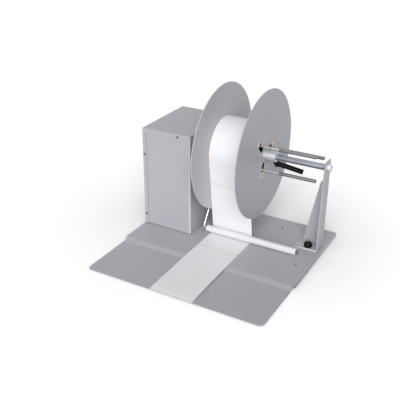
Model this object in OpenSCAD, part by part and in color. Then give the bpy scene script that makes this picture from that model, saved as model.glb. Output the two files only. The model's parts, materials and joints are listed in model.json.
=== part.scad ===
// Tabletop label rewinder: a motor-driven spindle with two flange discs and a three-rod core chuck
// winds the label web that comes along the base plate and up round a hanging dancer roller.
// Millimetres, +Z up, origin on the table under the middle of the machine.

/* [Base plate] */
// Width of the raised base plate, left to right
base_w = 430; // [410:1:460]
// Depth of the base plate, front to rear
base_d = 418; // [405:1:450]
// Thickness of the base sheet
plate_t = 2; // [1.5:0.1:3]
// Depth of the front apron that lies on the table
apron_d = 139; // [110:1:150]
// Run of the sloped step between apron and raised plate
joggle_run = 15; // [10:1:20]
// Height of the step
joggle_rise = 4; // [3.5:0.1:6]
// How much narrower the apron is on each side
apron_inset = 4; // [1:0.5:8]
// Radius of the apron's front corners
front_corner_r = 11; // [4:1:20]
// Radius of the rear plate's corners
rear_corner_r = 7; // [3:1:14]
// Diameter of the rubber feet
rubber_foot_d = 14; // [10:1:16]
// Distance of each foot's centre from the plate's edges
foot_inset = 8; // [8:0.5:12]
// Diameter of the two holes for screwing the base to a bench
bench_hole_d = 4.5; // [3:0.1:6.5]
// Side hole, from the right edge
side_hole_from_right = 31; // [24:1:40]
// Side hole, from the front edge
side_hole_from_front = 234; // [205:1:240]
// Rear hole, from the right edge
rear_hole_from_right = 124; // [110:1:135]
// Rear hole, from the rear edge
rear_hole_from_rear = 41; // [30:1:55]

/* [Housing] */
// Width of the drive housing
box_w = 128; // [126:1:134]
// Depth of the drive housing
box_d = 183; // [176:1:200]
// Height of the drive housing above the plate
box_h = 248; // [242:1:280]
// Thickness of the chassis sheet
sheet_t = 1.5; // [1:0.1:2.5]
// Thickness of the cover sheet
cover_t = 1.2; // [0.8:0.1:2]
// Outside radius of the sheet bends
bend_r = 3; // [2.6:0.1:5]
// Width of the cover's folded edge strips
strip_w = 11; // [9:0.5:16]
// Width of the chassis flanges on the base plate
base_flange_w = 16; // [12:1:20]
// Width of the flange that carries the cover's top
rest_flange_w = 14; // [8:1:20]
// Upper strip screw, below the top
strip_screw_drop = 65; // [40:1:100]
// Lower strip screw, above the plate
strip_screw_rise = 27; // [18:1:60]
// Top strip screw, from the right side
top_screw_from_right = 31; // [20:1:60]
// Diameter of the cover screws
cover_screw_d = 3; // [2.5:0.1:4]
// Diameter of the cover screws' heads
cover_head_d = 5.6; // [5:0.1:7]
// Diameter of the screws under the base
base_screw_d = 4; // [3:0.1:5]

/* [Spindle] */
// Spindle axis, behind the housing's front
axis_back_l = 93; // [88:1:100]
// Spindle axis, below the housing's top
axis_drop_h = 45; // [42:1:50]
// Diameter of the spindle shaft
shaft_d = 14; // [12:0.5:15]
// Diameter of the journal in the support post
journal_d = 10; // [8:0.5:11]
// Diameter of the flange discs
disc_d = 300; // [260:1:304]
// Thickness of the flange discs
disc_t = 2; // [1.5:0.1:3]
// Clear width between the discs
disc_gap = 104; // [100:1:112]
// Inner disc, from the housing's side wall
disc_from_wall = 36; // [35:1:40]
// Diameter of the disc hubs
hub_d = 24; // [21:0.5:24.5]
// Diameter of the hub spigot in the disc
spigot_d = 19; // [18:0.5:20]
// Length of the inner hub
inner_hub_l = 18; // [12:1:20]
// Length of the outer hub
outer_hub_l = 29; // [27:1:36]
// Radius where the rod slots start
slot_in_r = 18; // [17.5:0.5:20]
// Radius where the rod slots end
slot_out_r = 58; // [50:1:80]
// Width of the slots in the outer disc
slot_w = 15; // [14.8:0.1:16]
// Direction of the first slot, from the rear towards the top
slot_angle = 8; // [0:1:40]
// Turn of the outer disc until its slots lean on the rods
slot_twist = 7; // [0:0.5:7]

/* [Core rods] */
// Diameter of the rods under the core
rod_d = 6; // [5.4:0.1:7]
// Diameter of the thicker rod ends
rod_grip_d = 8; // [7.2:0.1:9]
// Start of the thicker ends, from the outer disc
grip_from_disc = 42; // [41:1:60]
// Gap from the rod ends to the support post
rod_end_gap = 16; // [8:0.5:25]
// Diameter of the threaded rod feet
rod_foot_d = 4.4; // [3.5:0.1:4.6]
// Diameter of the cross holes in the rod ends
rod_hole_d = 2; // [1.5:0.1:3]

/* [Label roll] */
// Inside diameter of the cardboard core
core_bore_d = 76; // [74:0.1:78]
// Wall of the cardboard core
core_wall = 4; // [2:0.5:6]
// Outside diameter of the wound roll
roll_d = 146; // [110:1:150]
// Width of the label web
web_w = 103; // [80:1:103]
// Thickness of the label web
web_t = 0.3; // [0.2:0.05:0.6]

/* [Clamp lever] */
// Lever stud, from the outer disc
lever_from_disc = 21; // [20:0.5:22]
// Direction of the lever stud, from the rear towards the top
lever_angle = 310; // [306:1:316]
// Diameter of the lever's hub
lever_hub_d = 13; // [11:0.5:14]
// Radius where the lever's hub ends
lever_hub_r = 38; // [34:1:42]
// Reach of the lever arm along the spindle
lever_reach = 58; // [45:1:62]
// How far the arm's tip stands out beyond its root
lever_rise = 17; // [10:1:20]
// Diameter of the lever's stud
lever_stud_d = 6; // [5:0.5:8]

/* [Dancer] */
// Roller axis, in front of the spindle axis
roller_lead_l = 58; // [56:1:66]
// Roller axis, above the raised plate
roller_h = 10.2; // [10:0.1:12]
// Diameter of the guide roller
roller_d = 16; // [14:0.5:17]
// Bore of the roller tube
roller_bore_d = 12; // [11:0.5:12.5]
// Length of the guide roller
roller_l = 228; // [200:1:236]
// Length of the plug in each roller end
roller_plug_l = 12; // [8:1:20]
// Diameter of the bent rod of the dancer arm
arm_d = 4.4; // [4:0.1:5]
// Centre-line radius of the rod's bends
arm_bend_r = 6; // [5:0.5:6.5]
// Arm's pivot, below the spindle axis
pivot_drop_h = 93; // [90:1:98]
// Lean of the arm from the vertical, at rest
arm_lean = 33; // [30:1:36]
// Arm plane, from the inner disc
arm_from_disc = 18; // [17:0.1:18.5]

/* [Support post] */
// Outer face of the post, from the base's right edge
post_from_edge = 10; // [10:1:20]
// Thickness of the post sheet
post_t = 3; // [2:0.1:4]
// Width of the post at its foot
post_w = 40; // [36:1:44]
// Width of the post at its top
post_top_w = 33; // [28:1:35]
// Rear edge of the post, behind the spindle axis
post_rear_l = 20; // [16:0.5:22]
// Height of the post above the spindle axis
post_over_axis = 13; // [11:0.5:20]
// Length of the post's foot
post_foot_l = 55; // [50:1:58]
// Width of the stiffening flange at its base
gusset_w = 47; // [40:1:48]
// Width of the stiffening flange at its top
gusset_top_w = 18; // [14:1:22]
// Height of the stiffening flange
gusset_h = 161; // [120:1:162]
// Straight part at the flange's base
gusset_edge_h = 6; // [4:1:12]
// Diameter of the bush boss on the post
boss_d = 17; // [16:0.5:22]
// Length of the bush boss
boss_l = 9; // [4:0.5:10]
// Thumb screw, from the post's outer face
thumb_from_post = 26; // [22:0.5:28]
// Thumb screw, from the post's front edge
thumb_from_front = 11; // [10:0.5:14]
// Diameter of the thumb screw's knob
thumb_d = 19; // [15:0.5:20]
// Height of the thumb screw's knob
thumb_h = 11; // [8:0.5:14]
// Diameter of the thumb screw's thread
thumb_screw_d = 6; // [5:0.5:6]

/* [Drive] */
// Radius of the spindle pulley under the belt
spindle_pulley_r = 30; // [26:0.5:34]
// Radius of the motor pulley under the belt
motor_pulley_r = 10; // [8.5:0.5:12]
// Width of the drive belt
belt_w = 10; // [8:0.5:11]
// Thickness of the drive belt
belt_t = 2; // [1.5:0.1:2.5]
// Motor axis, in front of the spindle axis
motor_forward = 38; // [30:1:40]
// Motor axis, below the spindle axis
motor_drop = 89; // [86:1:95]
// Diameter of the gear motor
motor_d = 54; // [44:1:58]
// Length of the gear motor
motor_l = 64; // [50:1:66]
// Diameter of the motor's output shaft
motor_shaft_d = 8; // [6:0.5:9]
// Outside diameter of the spindle bearings
bearing_od = 32; // [28:1:35]
// Width of each spindle bearing
bearing_w = 9; // [7:0.5:10]
// Diameter of the bearing housing's flange
bearing_flange_d = 64; // [60:1:70]

/* [Rear controls] */
// Height of the lower row of controls above the plate
low_row_h = 78; // [72:1:90]
// Height of the upper row of controls above the plate
high_row_h = 134; // [124:1:150]
// Left column of controls, from the housing's left side
left_col_x = 34; // [30:1:40]
// Right column of controls, from the housing's left side
right_col_x = 76; // [70:1:80]
// Diameter of the speed knob
knob_d = 22; // [16:0.5:26]
// Length of the speed knob
knob_l = 13; // [10:0.5:18]

/* [Hidden] */
$fn = 64;

// Clearances
run_gap = 0.05;
seat_gap = 0.02;
free_gap = 0.3;
cut = 1;

// Base plate
floor_z = joggle_rise + plate_t;
joggle_end = apron_d + joggle_run;

// Housing faces
box_y0 = base_d - box_d;
box_z1 = floor_z + box_h;
wall_in_x = box_w - sheet_t;
front_face_y = box_y0 + cover_t;
rear_face_y = base_d - cover_t;
chassis_top = box_z1 - cover_t;
chassis_x0 = cover_t + free_gap;
strip_mid = strip_w / 2;
bend_clear_r = 0.6;
cover_head_h = 1.8;
cover_screw_l = 6;
base_head_d = 2 * base_screw_d;
base_head_h = 2.2;
screw_inset = 40;
base_screw_grip = 5;
wall_hole_gap = 3;
socket_share = 0.7;
bolt_turn = 45;

// Spindle
axis_y = box_y0 + axis_back_l;
axis_h = box_h - axis_drop_h;
axis_z = floor_z + axis_h;
shaft_r = shaft_d / 2;
inner_disc_x = box_w + disc_from_wall;
inner_disc_x1 = inner_disc_x + disc_t;
outer_disc_x = inner_disc_x1 + disc_gap;
outer_disc_x1 = outer_disc_x + disc_t;
set_screw_d = 5;
foot_slot_w = rod_foot_d + 2 * free_gap;
rods = 3;
rod_r = core_bore_d / 2 - free_gap - rod_d / 2;
nut_h = 5;
nut_flange_t = 1.5;
nut_af = 8;
nut_flange_d = 12;
rod_foot_tail = 2;
rod_chamfer = 1;
rod_hole_at = 48;
rod_end_hole_inset = 5;

// Label roll and web
web_x = inner_disc_x1 + (disc_gap - web_w) / 2;
core_r = core_bore_d / 2 + core_wall;

// Support post
post_x1 = base_w - post_from_edge;
post_x0 = post_x1 - post_t;
post_y1 = axis_y + post_rear_l;
post_y0 = post_y1 - post_w;
post_bend_in_r = 2;
post_bend_r = post_t + post_bend_in_r;
shaft_shoulder_gap = 4;
spigot_wall = 2.5;
thumb_x = post_x1 - thumb_from_post;
thumb_y = post_y0 + thumb_from_front;
thumb_slot_w = thumb_screw_d + 2 * free_gap;
thumb_grips = 16;
thumb_grip_d = 2.4;
thumb_edge_r = 2;
foot_nut_wall = 2.6;
foot_nut_h = 3;
rod_end_x = post_x0 - rod_end_gap;
shaft_end_inset = 1;
shaft_end_x = post_x1 + boss_l - shaft_end_inset;

// Drive, laid out along X from the bearings inwards
bearing_spacer = 1.5;
bearing_stack = 2 * bearing_w + bearing_spacer;
bearing_flange_t = 6;
bearing_wall = 5;
bearing_bolts = 4;
bearing_screw_d = 5;
bearing_head_h = 2.5;
bearing_lip = 3;
pulley_gap = 6;
rim_t = 1.5;
rim_h = 3;
belt_side_gap = 0.5;
pulley_w = belt_w + 2 * belt_side_gap + 2 * rim_t;
pulley_x = wall_in_x - bearing_stack - pulley_gap - pulley_w;
shaft_tail = 6;
motor_y = axis_y - motor_forward;
motor_z = axis_z - motor_drop;
motor_gap = 7;
motor_face_x = pulley_x - motor_gap;
motor_plate_t = 3;
motor_plate_margin = 8;
motor_bolts = 4;
motor_screw_d = 4;
motor_screw_grip = 6;
motor_screw_l = motor_plate_t + motor_screw_grip;
motor_head_d = 7;
motor_head_h = 2.4;
motor_bolt_inset = 6;
motor_bolt_r = motor_d / 2 - motor_bolt_inset;
motor_shaft_tip = 1;
gearbox_share = 0.42;
can_step = 5;
pilot_d = 22;
pilot_h = motor_plate_t;
bracket_foot_l = 26;
bracket_screw_inset = 14;

// Electrics on the base plate
supply_w = 60;
supply_h = 34;
supply_l = 72;
supply_x = 10;
board_gap = 3;
supply_y = rear_face_y - sheet_t - base_flange_w - supply_l - board_gap;
supply_screw_inset = 12;
board_x = 10;
board_w = 58;
board_t = 1.6;
board_lift = 10;
board_y = front_face_y + sheet_t + base_flange_w + board_gap;
board_d = supply_y - board_y - board_gap;
board_hole_inset = 5;
standoff_d = 6;
standoff_tip = 1;

// Rear controls
low_row_z = floor_z + low_row_h;
high_row_z = floor_z + high_row_h;
inlet_w = 31;
inlet_h = 24;
inlet_body_w = 27;
inlet_body_h = 20;
inlet_body_l = 24;
inlet_recess_w = 24;
inlet_recess_h = 16.5;
inlet_recess_l = 17;
inlet_pin_l = 9;
inlet_pin_w = 2;
inlet_pin_h = 4;
inlet_pin_pitch = 7;
inlet_pin_offset = 2;
bezel_t = 2.5;
bezel_r = 2;
switch_w = 15;
switch_h = 21;
switch_body_w = 13;
switch_body_h = 19;
switch_body_l = 16;
rocker_w = 10;
rocker_h = 15.6;
rocker_tilt = 8;
rocker_out = 3;
rocker_back = 4;
rocker_pin_d = 2.4;
rocker_pin_reach = 1;
rocker_sink = 2;
rocker_recess_w = rocker_w + 2 * free_gap;
rocker_swing_gap = 1;
rocker_recess_h = rocker_h + 2 * rocker_swing_gap;
rocker_recess_l = 7.5;
dial_d = 17;
dial_l = 10;
dial_thread_d = 8;
dial_shaft_d = 6;
dial_nut_h = 2.2;
dial_nut_wall = 2;
knob_gap = 0.6;
knob_flutes = 18;
knob_flute_d = 2;
knob_skirt = 2;
knob_end_y = rear_face_y + dial_nut_h + knob_gap + knob_l;
total_d = max(knob_end_y, axis_y + disc_d / 2);

// Dancer
roller_y = axis_y - roller_lead_l;
roller_z = floor_z + roller_h;
pivot_z = axis_z - pivot_drop_h;
arm_l = (pivot_z - roller_z) / cos(arm_lean);
pivot_y = roller_y + arm_l * sin(arm_lean);
arm_x = inner_disc_x - arm_from_disc;
arm_r = arm_d / 2;
bush_flange_d = 16;
bush_flange_t = 3;
bush_barrel_d = 11;
bush_barrel_l = 7;
collar_d = 14;
collar_l = 7;
cam_l = 8;
cam_d = 13;
cam_nose_r = 12;
cam_nose_w = 5;
cam_x = wall_in_x - bush_barrel_l - free_gap - cam_l;
arm_tail = 2;
arm_tail_x = cam_x - arm_tail;
roller_side_gap = 4;
roller_x = arm_x + arm_bend_r + roller_side_gap;
axle_end_x = roller_x + roller_l + free_gap;
roller_screw_head_d = 9;
roller_screw_head_h = 3;
roller_screw_d = 2.4;
roller_screw_l = 8;
switch_case_w = 20;
switch_case_h = 11;
switch_case_t = 7;
switch_button_d = 3;
switch_button_h = 2.5;
switch_plate_t = 1.5;
switch_plate_foot = 14;

// Web path: along the plates, round under the roller and up to the front of the roll
web_turn_r = roller_h;
web_steps = 20;
roll_touch_r = roll_d / 2 + free_gap + web_t;
web_run = norm([axis_y - roller_y, axis_z - roller_z]);
web_tilt = atan2(axis_z - roller_z, axis_y - roller_y) + asin((web_turn_r + roll_touch_r) / web_run) - 90;
web_rise = sqrt(pow(web_run, 2) - pow(web_turn_r + roll_touch_r, 2));

// Machine frame: from the base's front left corner to the origin
module placed() {
    translate([-base_w / 2, -total_d / 2, 0])
        children();
}

// A profile drawn in Y and Z, extruded along X
module extrude_x(x0, length) {
    translate([x0, 0, 0])
        rotate([90, 0, 90])
            linear_extrude(length)
                children();
}

// A profile drawn in X and Z, extruded along Y
module extrude_y(y0, length) {
    translate([0, y0 + length, 0])
        rotate([90, 0, 0])
            linear_extrude(length)
                children();
}

// Children turned so that their +Z runs along the spindle
module on_axis(x) {
    translate([x, axis_y, axis_z])
        rotate([0, 90, 0])
            children();
}

// Children on the spindle, with their +X pointing outwards at an angle from the rear towards the top
module on_spoke(x, angle) {
    on_axis(x)
        rotate([0, 0, angle + 90])
            children();
}

// Children turned so that their +Z points out of the housing's rear wall
module on_rear(x, z) {
    translate([x, rear_face_y, z])
        rotate([-90, 0, 0])
            children();
}

// A flat ring standing on z = 0
module ring(outer_d, inner_d, length) {
    difference() {
        cylinder(d = outer_d, h = length);
        translate([0, 0, -cut])
            cylinder(d = inner_d, h = length + 2 * cut);
    }
}

// The square left outside a round corner whose centre is at the origin's far side
module corner_cut(r) {
    difference() {
        translate([-cut, -cut])
            square(r + cut);
        translate([r, r])
            circle(r);
    }
}

// A rectangle with its own radius at each corner: near left, near right, far right, far left
module corner_rect(w, h, radii) {
    difference() {
        square([w, h]);
        if (radii[0] > 0)
            corner_cut(radii[0]);
        if (radii[1] > 0)
            translate([w, 0]) rotate(90) corner_cut(radii[1]);
        if (radii[2] > 0)
            translate([w, h]) rotate(180) corner_cut(radii[2]);
        if (radii[3] > 0)
            translate([0, h]) rotate(270) corner_cut(radii[3]);
    }
}

// A slot with round ends along +X, between two radii
module slot_2d(r0, r1, w) {
    translate([r0 + w / 2, -w / 2])
        square([r1 - r0 - w, w]);
    translate([r0 + w / 2, 0])
        circle(d = w);
    translate([r1 - w / 2, 0])
        circle(d = w);
}

// A screw whose head stands on z = 0 and whose shank points down
module socket_screw(d, head_d, head_h, length) {
    difference() {
        union() {
            cylinder(d = head_d, h = head_h);
            translate([0, 0, -length])
                cylinder(d = d, h = length + cut / 2);
        }
        translate([0, 0, head_h / 2])
            cylinder(d = d * socket_share, h = head_h, $fn = 6);
    }
}

// Places of the cover's strip screws: [x, z]
cover_screw_spots = [
    [strip_mid, box_z1 - strip_screw_drop],
    [strip_mid, floor_z + strip_screw_rise],
    [box_w - top_screw_from_right, box_z1 - strip_mid]
];

// Places of the screws that come up through the base plate: [x, y]
chassis_flange_mid = base_flange_w / 2 + sheet_t;
bracket_x = motor_face_x;
base_screw_spots = [
    [screw_inset, front_face_y + chassis_flange_mid],
    [wall_in_x - base_flange_w - screw_inset, front_face_y + chassis_flange_mid],
    [screw_inset, rear_face_y - chassis_flange_mid],
    [wall_in_x - base_flange_w - screw_inset, rear_face_y - chassis_flange_mid],
    [bracket_x + motor_plate_t + bracket_screw_inset, motor_y - motor_d / 2 + bracket_screw_inset],
    [bracket_x + motor_plate_t + bracket_screw_inset, motor_y + motor_d / 2 - bracket_screw_inset],
    [supply_x + supply_screw_inset, supply_y + supply_screw_inset],
    [supply_x + supply_w - supply_screw_inset, supply_y + supply_l - supply_screw_inset]
];
base_screw_l = plate_t + base_screw_grip;

// Holes for the shanks that come up from below
module base_screw_holes(gap) {
    for (spot = base_screw_spots)
        translate([spot[0], spot[1], -cut])
            cylinder(d = base_screw_d + 2 * gap, h = floor_z + base_screw_l + cut);
}

// Side view of the stepped sheet
module base_profile() {
    polygon([
        [0, 0], [apron_d, 0], [joggle_end, joggle_rise], [base_d, joggle_rise],
        [base_d, floor_z], [joggle_end, floor_z], [apron_d, plate_t], [0, plate_t]
    ]);
}

// Top view: the raised plate, narrowing to the apron
module base_outline() {
    apron_w = base_w - 2 * apron_inset;
    translate([apron_inset, 0])
        corner_rect(apron_w, joggle_end, [front_corner_r, front_corner_r, 0, 0]);
    polygon([
        [apron_inset, apron_d], [base_w - apron_inset, apron_d],
        [base_w, joggle_end], [0, joggle_end]
    ]);
    translate([0, joggle_end])
        corner_rect(base_w, base_d - joggle_end, [0, 0, rear_corner_r, 0]);
}

module base_plate() {
    color("silver")
    difference() {
        intersection() {
            extrude_x(0, base_w)
                base_profile();
            linear_extrude(floor_z + cut)
                base_outline();
        }
        base_screw_holes(free_gap);
        translate([thumb_x, thumb_y, -cut])
            cylinder(d = thumb_screw_d + 2 * free_gap, h = floor_z + 2 * cut);
        translate([base_w - side_hole_from_right, side_hole_from_front, -cut])
            cylinder(d = bench_hole_d, h = floor_z + 2 * cut);
        translate([base_w - rear_hole_from_right, base_d - rear_hole_from_rear, -cut])
            cylinder(d = bench_hole_d, h = floor_z + 2 * cut);
    }
}

module rubber_feet() {
    foot_y = [joggle_end + foot_inset, base_d - foot_inset];
    foot_taper = 1;
    color("dimgray")
    for (x = [foot_inset, base_w - foot_inset], y = foot_y)
        translate([x, y, 0])
            cylinder(d1 = rubber_foot_d - foot_taper, d2 = rubber_foot_d, h = joggle_rise);
}

module base_screws() {
    color("silver")
    for (spot = base_screw_spots)
        translate([spot[0], spot[1], joggle_rise])
            mirror([0, 0, 1])
                socket_screw(base_screw_d, base_head_d, base_head_h, base_screw_l);
}

// Holes for the cover screws through both front and rear walls
module cover_screw_holes(gap) {
    for (spot = cover_screw_spots)
        extrude_y(box_y0 - cut, box_d + 2 * cut)
            translate([spot[0], spot[1]])
                circle(d = cover_screw_d + 2 * gap);
}

// Top view of the chassis: front, side and rear walls in one bent sheet
module chassis_plan() {
    d = rear_face_y - front_face_y;
    in_r = bend_r - sheet_t;
    difference() {
        translate([chassis_x0, front_face_y])
            corner_rect(box_w - chassis_x0, d, [0, bend_r, bend_r, 0]);
        translate([chassis_x0 - cut, front_face_y + sheet_t])
            corner_rect(wall_in_x - chassis_x0 + cut, d - 2 * sheet_t, [0, in_r, in_r, 0]);
    }
}

module housing_chassis() {
    inner_y0 = front_face_y + sheet_t;
    inner_y1 = rear_face_y - sheet_t;
    color("silver")
    difference() {
        union() {
            intersection() {
                translate([0, 0, floor_z])
                    linear_extrude(chassis_top - floor_z)
                        chassis_plan();
                cover_block(cover_t, bend_clear_r);
            }
            for (y = [inner_y0, inner_y1 - base_flange_w])
                translate([chassis_x0 + strip_w, y, floor_z])
                    cube([wall_in_x - base_flange_w - chassis_x0 - strip_w, base_flange_w, sheet_t]);
            translate([wall_in_x - rest_flange_w, inner_y0 + rest_flange_w, chassis_top - sheet_t])
                cube([rest_flange_w + sheet_t / 2, inner_y1 - inner_y0 - 2 * rest_flange_w, sheet_t]);
        }
        cover_screw_holes(seat_gap);
        base_screw_holes(seat_gap);
        on_axis(wall_in_x - cut)
            cylinder(d = shaft_d + 2 * wall_hole_gap, h = sheet_t + 2 * cut);
        bearing_bolt_ring()
            translate([0, 0, wall_in_x - cut])
                cylinder(d = bearing_screw_d + 2 * seat_gap, h = sheet_t + 2 * cut);
        translate([wall_in_x - cut, pivot_y, pivot_z])
            rotate([0, 90, 0])
                cylinder(d = bush_barrel_d + 2 * seat_gap, h = sheet_t + 2 * cut);
        rear_cutouts();
    }
}

// Openings for the controls in the rear wall
module rear_cutouts() {
    depth = sheet_t + 2 * cut;
    on_rear(left_col_x, low_row_z)
        translate([0, 0, -sheet_t / 2])
            cube([inlet_body_w + 2 * seat_gap, inlet_body_h + 2 * seat_gap, depth], center = true);
    for (spot = [[right_col_x, low_row_z], [left_col_x, high_row_z]])
        on_rear(spot[0], spot[1])
            translate([0, 0, -sheet_t / 2])
                cube([switch_body_w + 2 * seat_gap, switch_body_h + 2 * seat_gap, depth], center = true);
    on_rear(right_col_x, high_row_z)
        translate([0, 0, -sheet_t - cut])
            cylinder(d = dial_thread_d + 2 * seat_gap, h = depth);
}

// A block with the housing's outside bends, inset all round by a sheet thickness and rounded a little more
module cover_block(inset, more_r) {
    r = bend_r - inset + more_r;
    w = box_w + cut;
    d = box_d - 2 * inset;
    h = box_h - inset + cut;
    translate([inset, box_y0 + inset, floor_z - cut])
        intersection() {
            linear_extrude(h)
                corner_rect(w, d, [r, 0, 0, r]);
            extrude_y(0, d)
                corner_rect(w, h, [0, 0, 0, r]);
            extrude_x(0, w)
                corner_rect(d, h, [0, 0, r, r]);
        }
}

// Where the cover keeps its sheet: left side, top and the folded strips, mitred at the top right
module cover_keep() {
    translate([-cut, box_y0 - cut, floor_z])
        cube([cover_t + cut, box_d + 2 * cut, box_h + cut]);
    translate([-cut, box_y0 - cut, chassis_top])
        cube([box_w + cut, box_d + 2 * cut, cover_t + cut]);
    extrude_y(box_y0 - cut, box_d + 2 * cut)
        polygon([
            [-cut, floor_z], [strip_w, floor_z], [strip_w, box_z1 - strip_w],
            [box_w - strip_w, box_z1 - strip_w], [box_w - cover_t, chassis_top],
            [box_w - cover_t, box_z1 + cut], [-cut, box_z1 + cut]
        ]);
}

module housing_cover() {
    color("silver")
    difference() {
        intersection() {
            cover_block(0, 0);
            cover_keep();
        }
        cover_block(cover_t, 0);
        cover_screw_holes(free_gap);
    }
}

module cover_screws() {
    color("gray")
    for (spot = cover_screw_spots) {
        translate([spot[0], box_y0, spot[1]])
            rotate([90, 0, 0])
                socket_screw(cover_screw_d, cover_head_d, cover_head_h, cover_screw_l);
        translate([spot[0], base_d, spot[1]])
            rotate([-90, 0, 0])
                socket_screw(cover_screw_d, cover_head_d, cover_head_h, cover_screw_l);
    }
}

// Children repeated on the bearing flange's bolt circle, with +Z along the spindle from x = 0
module bearing_bolt_ring() {
    bolt_r = (bearing_flange_d / 2 + bearing_od / 2 + bearing_wall) / 2;
    for (i = [0 : bearing_bolts - 1])
        on_spoke(0, bolt_turn + i * 360 / bearing_bolts)
            translate([bolt_r, 0, 0])
                children();
}

module bearing_housing() {
    barrel_d = bearing_od + 2 * bearing_wall;
    lip_d = bearing_od - 2 * bearing_lip;
    stack_x = wall_in_x - bearing_stack;
    color("lightgray")
    difference() {
        union() {
            on_axis(stack_x - bearing_wall / 2)
                cylinder(d = barrel_d, h = bearing_stack + bearing_wall / 2);
            on_axis(wall_in_x - bearing_flange_t)
                cylinder(d = bearing_flange_d, h = bearing_flange_t);
        }
        on_axis(stack_x)
            cylinder(d = bearing_od + 2 * seat_gap, h = bearing_stack + cut);
        on_axis(stack_x - bearing_wall)
            cylinder(d = lip_d, h = bearing_wall + cut);
        bearing_bolt_ring()
            translate([0, 0, wall_in_x - bearing_flange_t - cut])
                cylinder(d = bearing_screw_d + 2 * seat_gap, h = bearing_flange_t + 2 * cut);
    }
}

module bearing_screws() {
    color("silver")
    bearing_bolt_ring()
        translate([0, 0, box_w])
            socket_screw(bearing_screw_d, 2 * bearing_screw_d, bearing_head_h, sheet_t + bearing_flange_t);
}

// One sealed ball bearing standing on z = 0, its shields set back between the rings
module ball_bearing() {
    ring_t = (bearing_od - shaft_d) / 8;
    shield_in = 0.8;
    difference() {
        ring(bearing_od, shaft_d + 2 * run_gap, bearing_w);
        for (z = [-cut, bearing_w - shield_in])
            translate([0, 0, z])
                ring(bearing_od - 2 * ring_t, shaft_d + 2 * ring_t, shield_in + cut);
    }
}

module spindle_bearings() {
    color("silver")
    for (x = [wall_in_x - bearing_stack, wall_in_x - bearing_w])
        on_axis(x)
            ball_bearing();
}

module spindle_shaft() {
    tail_x = pulley_x - shaft_tail;
    shoulder_x = post_x0 - shaft_shoulder_gap;
    chamfer = 1;
    color("lightsteelblue")
    union() {
        on_axis(tail_x)
            cylinder(d = shaft_d, h = shoulder_x - tail_x);
        on_axis(shoulder_x)
            cylinder(d = journal_d, h = shaft_end_x - shoulder_x - chamfer);
        on_axis(shaft_end_x - chamfer)
            cylinder(d1 = journal_d, d2 = journal_d - 2 * chamfer, h = chamfer);
    }
}

// A belt pulley standing on z = 0, with a rim on each side
module belt_pulley(r, bore_d) {
    difference() {
        union() {
            cylinder(r = r, h = pulley_w);
            for (z = [0, pulley_w - rim_t])
                translate([0, 0, z])
                    cylinder(r = r + rim_h, h = rim_t);
        }
        translate([0, 0, -cut])
            cylinder(d = bore_d, h = pulley_w + 2 * cut);
    }
}

module spindle_pulley() {
    lightening = 5;
    web_r = (shaft_r + spindle_pulley_r) / 2;
    hole_d = (spindle_pulley_r - shaft_r) / 2;
    color("dimgray")
    on_axis(pulley_x)
        difference() {
            belt_pulley(spindle_pulley_r, shaft_d + 2 * seat_gap);
            for (i = [0 : lightening - 1])
                rotate(i * 360 / lightening)
                    translate([web_r, 0, -cut])
                        cylinder(d = hole_d, h = pulley_w + 2 * cut);
        }
}

// The belt's loop round both pulleys, at a distance from their faces, in Y and Z
module belt_loop(out) {
    hull() {
        translate([axis_y, axis_z])
            circle(spindle_pulley_r + out, $fn = 72);
        translate([motor_y, motor_z])
            circle(motor_pulley_r + out, $fn = 36);
    }
}

module drive_belt() {
    color("black")
    extrude_x(pulley_x + (pulley_w - belt_w) / 2, belt_w)
        difference() {
            belt_loop(free_gap + belt_t);
            belt_loop(free_gap);
        }
}

// Children on the motor's axis, with +Z along X
module on_motor(x) {
    translate([x, motor_y, motor_z])
        rotate([0, 90, 0])
            children();
}

module motor_pulley() {
    color("dimgray")
    on_motor(pulley_x)
        belt_pulley(motor_pulley_r, motor_shaft_d + 2 * seat_gap);
}

module motor_shaft() {
    color("silver")
    on_motor(motor_face_x)
        cylinder(d = motor_shaft_d, h = pulley_x + pulley_w - motor_face_x + motor_shaft_tip);
}

module gear_motor() {
    gearbox_l = motor_l * gearbox_share;
    can_d = motor_d - 2 * can_step;
    color("gray")
    difference() {
        union() {
            on_motor(motor_face_x - gearbox_l)
                cylinder(d = motor_d, h = gearbox_l);
            on_motor(motor_face_x - motor_l)
                cylinder(d = can_d, h = motor_l - gearbox_l + cut);
            on_motor(motor_face_x - cut)
                cylinder(d = pilot_d, h = pilot_h + cut);
        }
        on_motor(motor_face_x - gearbox_l / 2)
            for (i = [0 : motor_bolts - 1])
                rotate(bolt_turn + i * 360 / motor_bolts)
                    translate([motor_bolt_r, 0, 0])
                        cylinder(d = motor_screw_d + 2 * seat_gap, h = gearbox_l);
        on_motor(motor_face_x - run_gap)
            cylinder(d = motor_shaft_d + 2 * run_gap, h = pilot_h + cut);
    }
}

module motor_bracket() {
    plate_d = motor_d + 2 * motor_plate_margin;
    plate_y = motor_y - plate_d / 2;
    plate_top = motor_z + plate_d / 2;
    corner = motor_d / 4;
    color("silver")
    difference() {
        union() {
            extrude_x(bracket_x, motor_plate_t)
                translate([plate_y, floor_z])
                    corner_rect(plate_d, plate_top - floor_z, [0, 0, corner, corner]);
            translate([bracket_x, plate_y, floor_z])
                cube([motor_plate_t + bracket_foot_l, plate_d, motor_plate_t]);
        }
        on_motor(bracket_x - cut)
            cylinder(d = pilot_d + 2 * seat_gap, h = motor_plate_t + 2 * cut);
        on_motor(bracket_x - cut)
            for (i = [0 : motor_bolts - 1])
                rotate(bolt_turn + i * 360 / motor_bolts)
                    translate([motor_bolt_r, 0, 0])
                        cylinder(d = motor_screw_d + 2 * free_gap, h = motor_plate_t + 2 * cut);
        base_screw_holes(seat_gap);
    }
}

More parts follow.
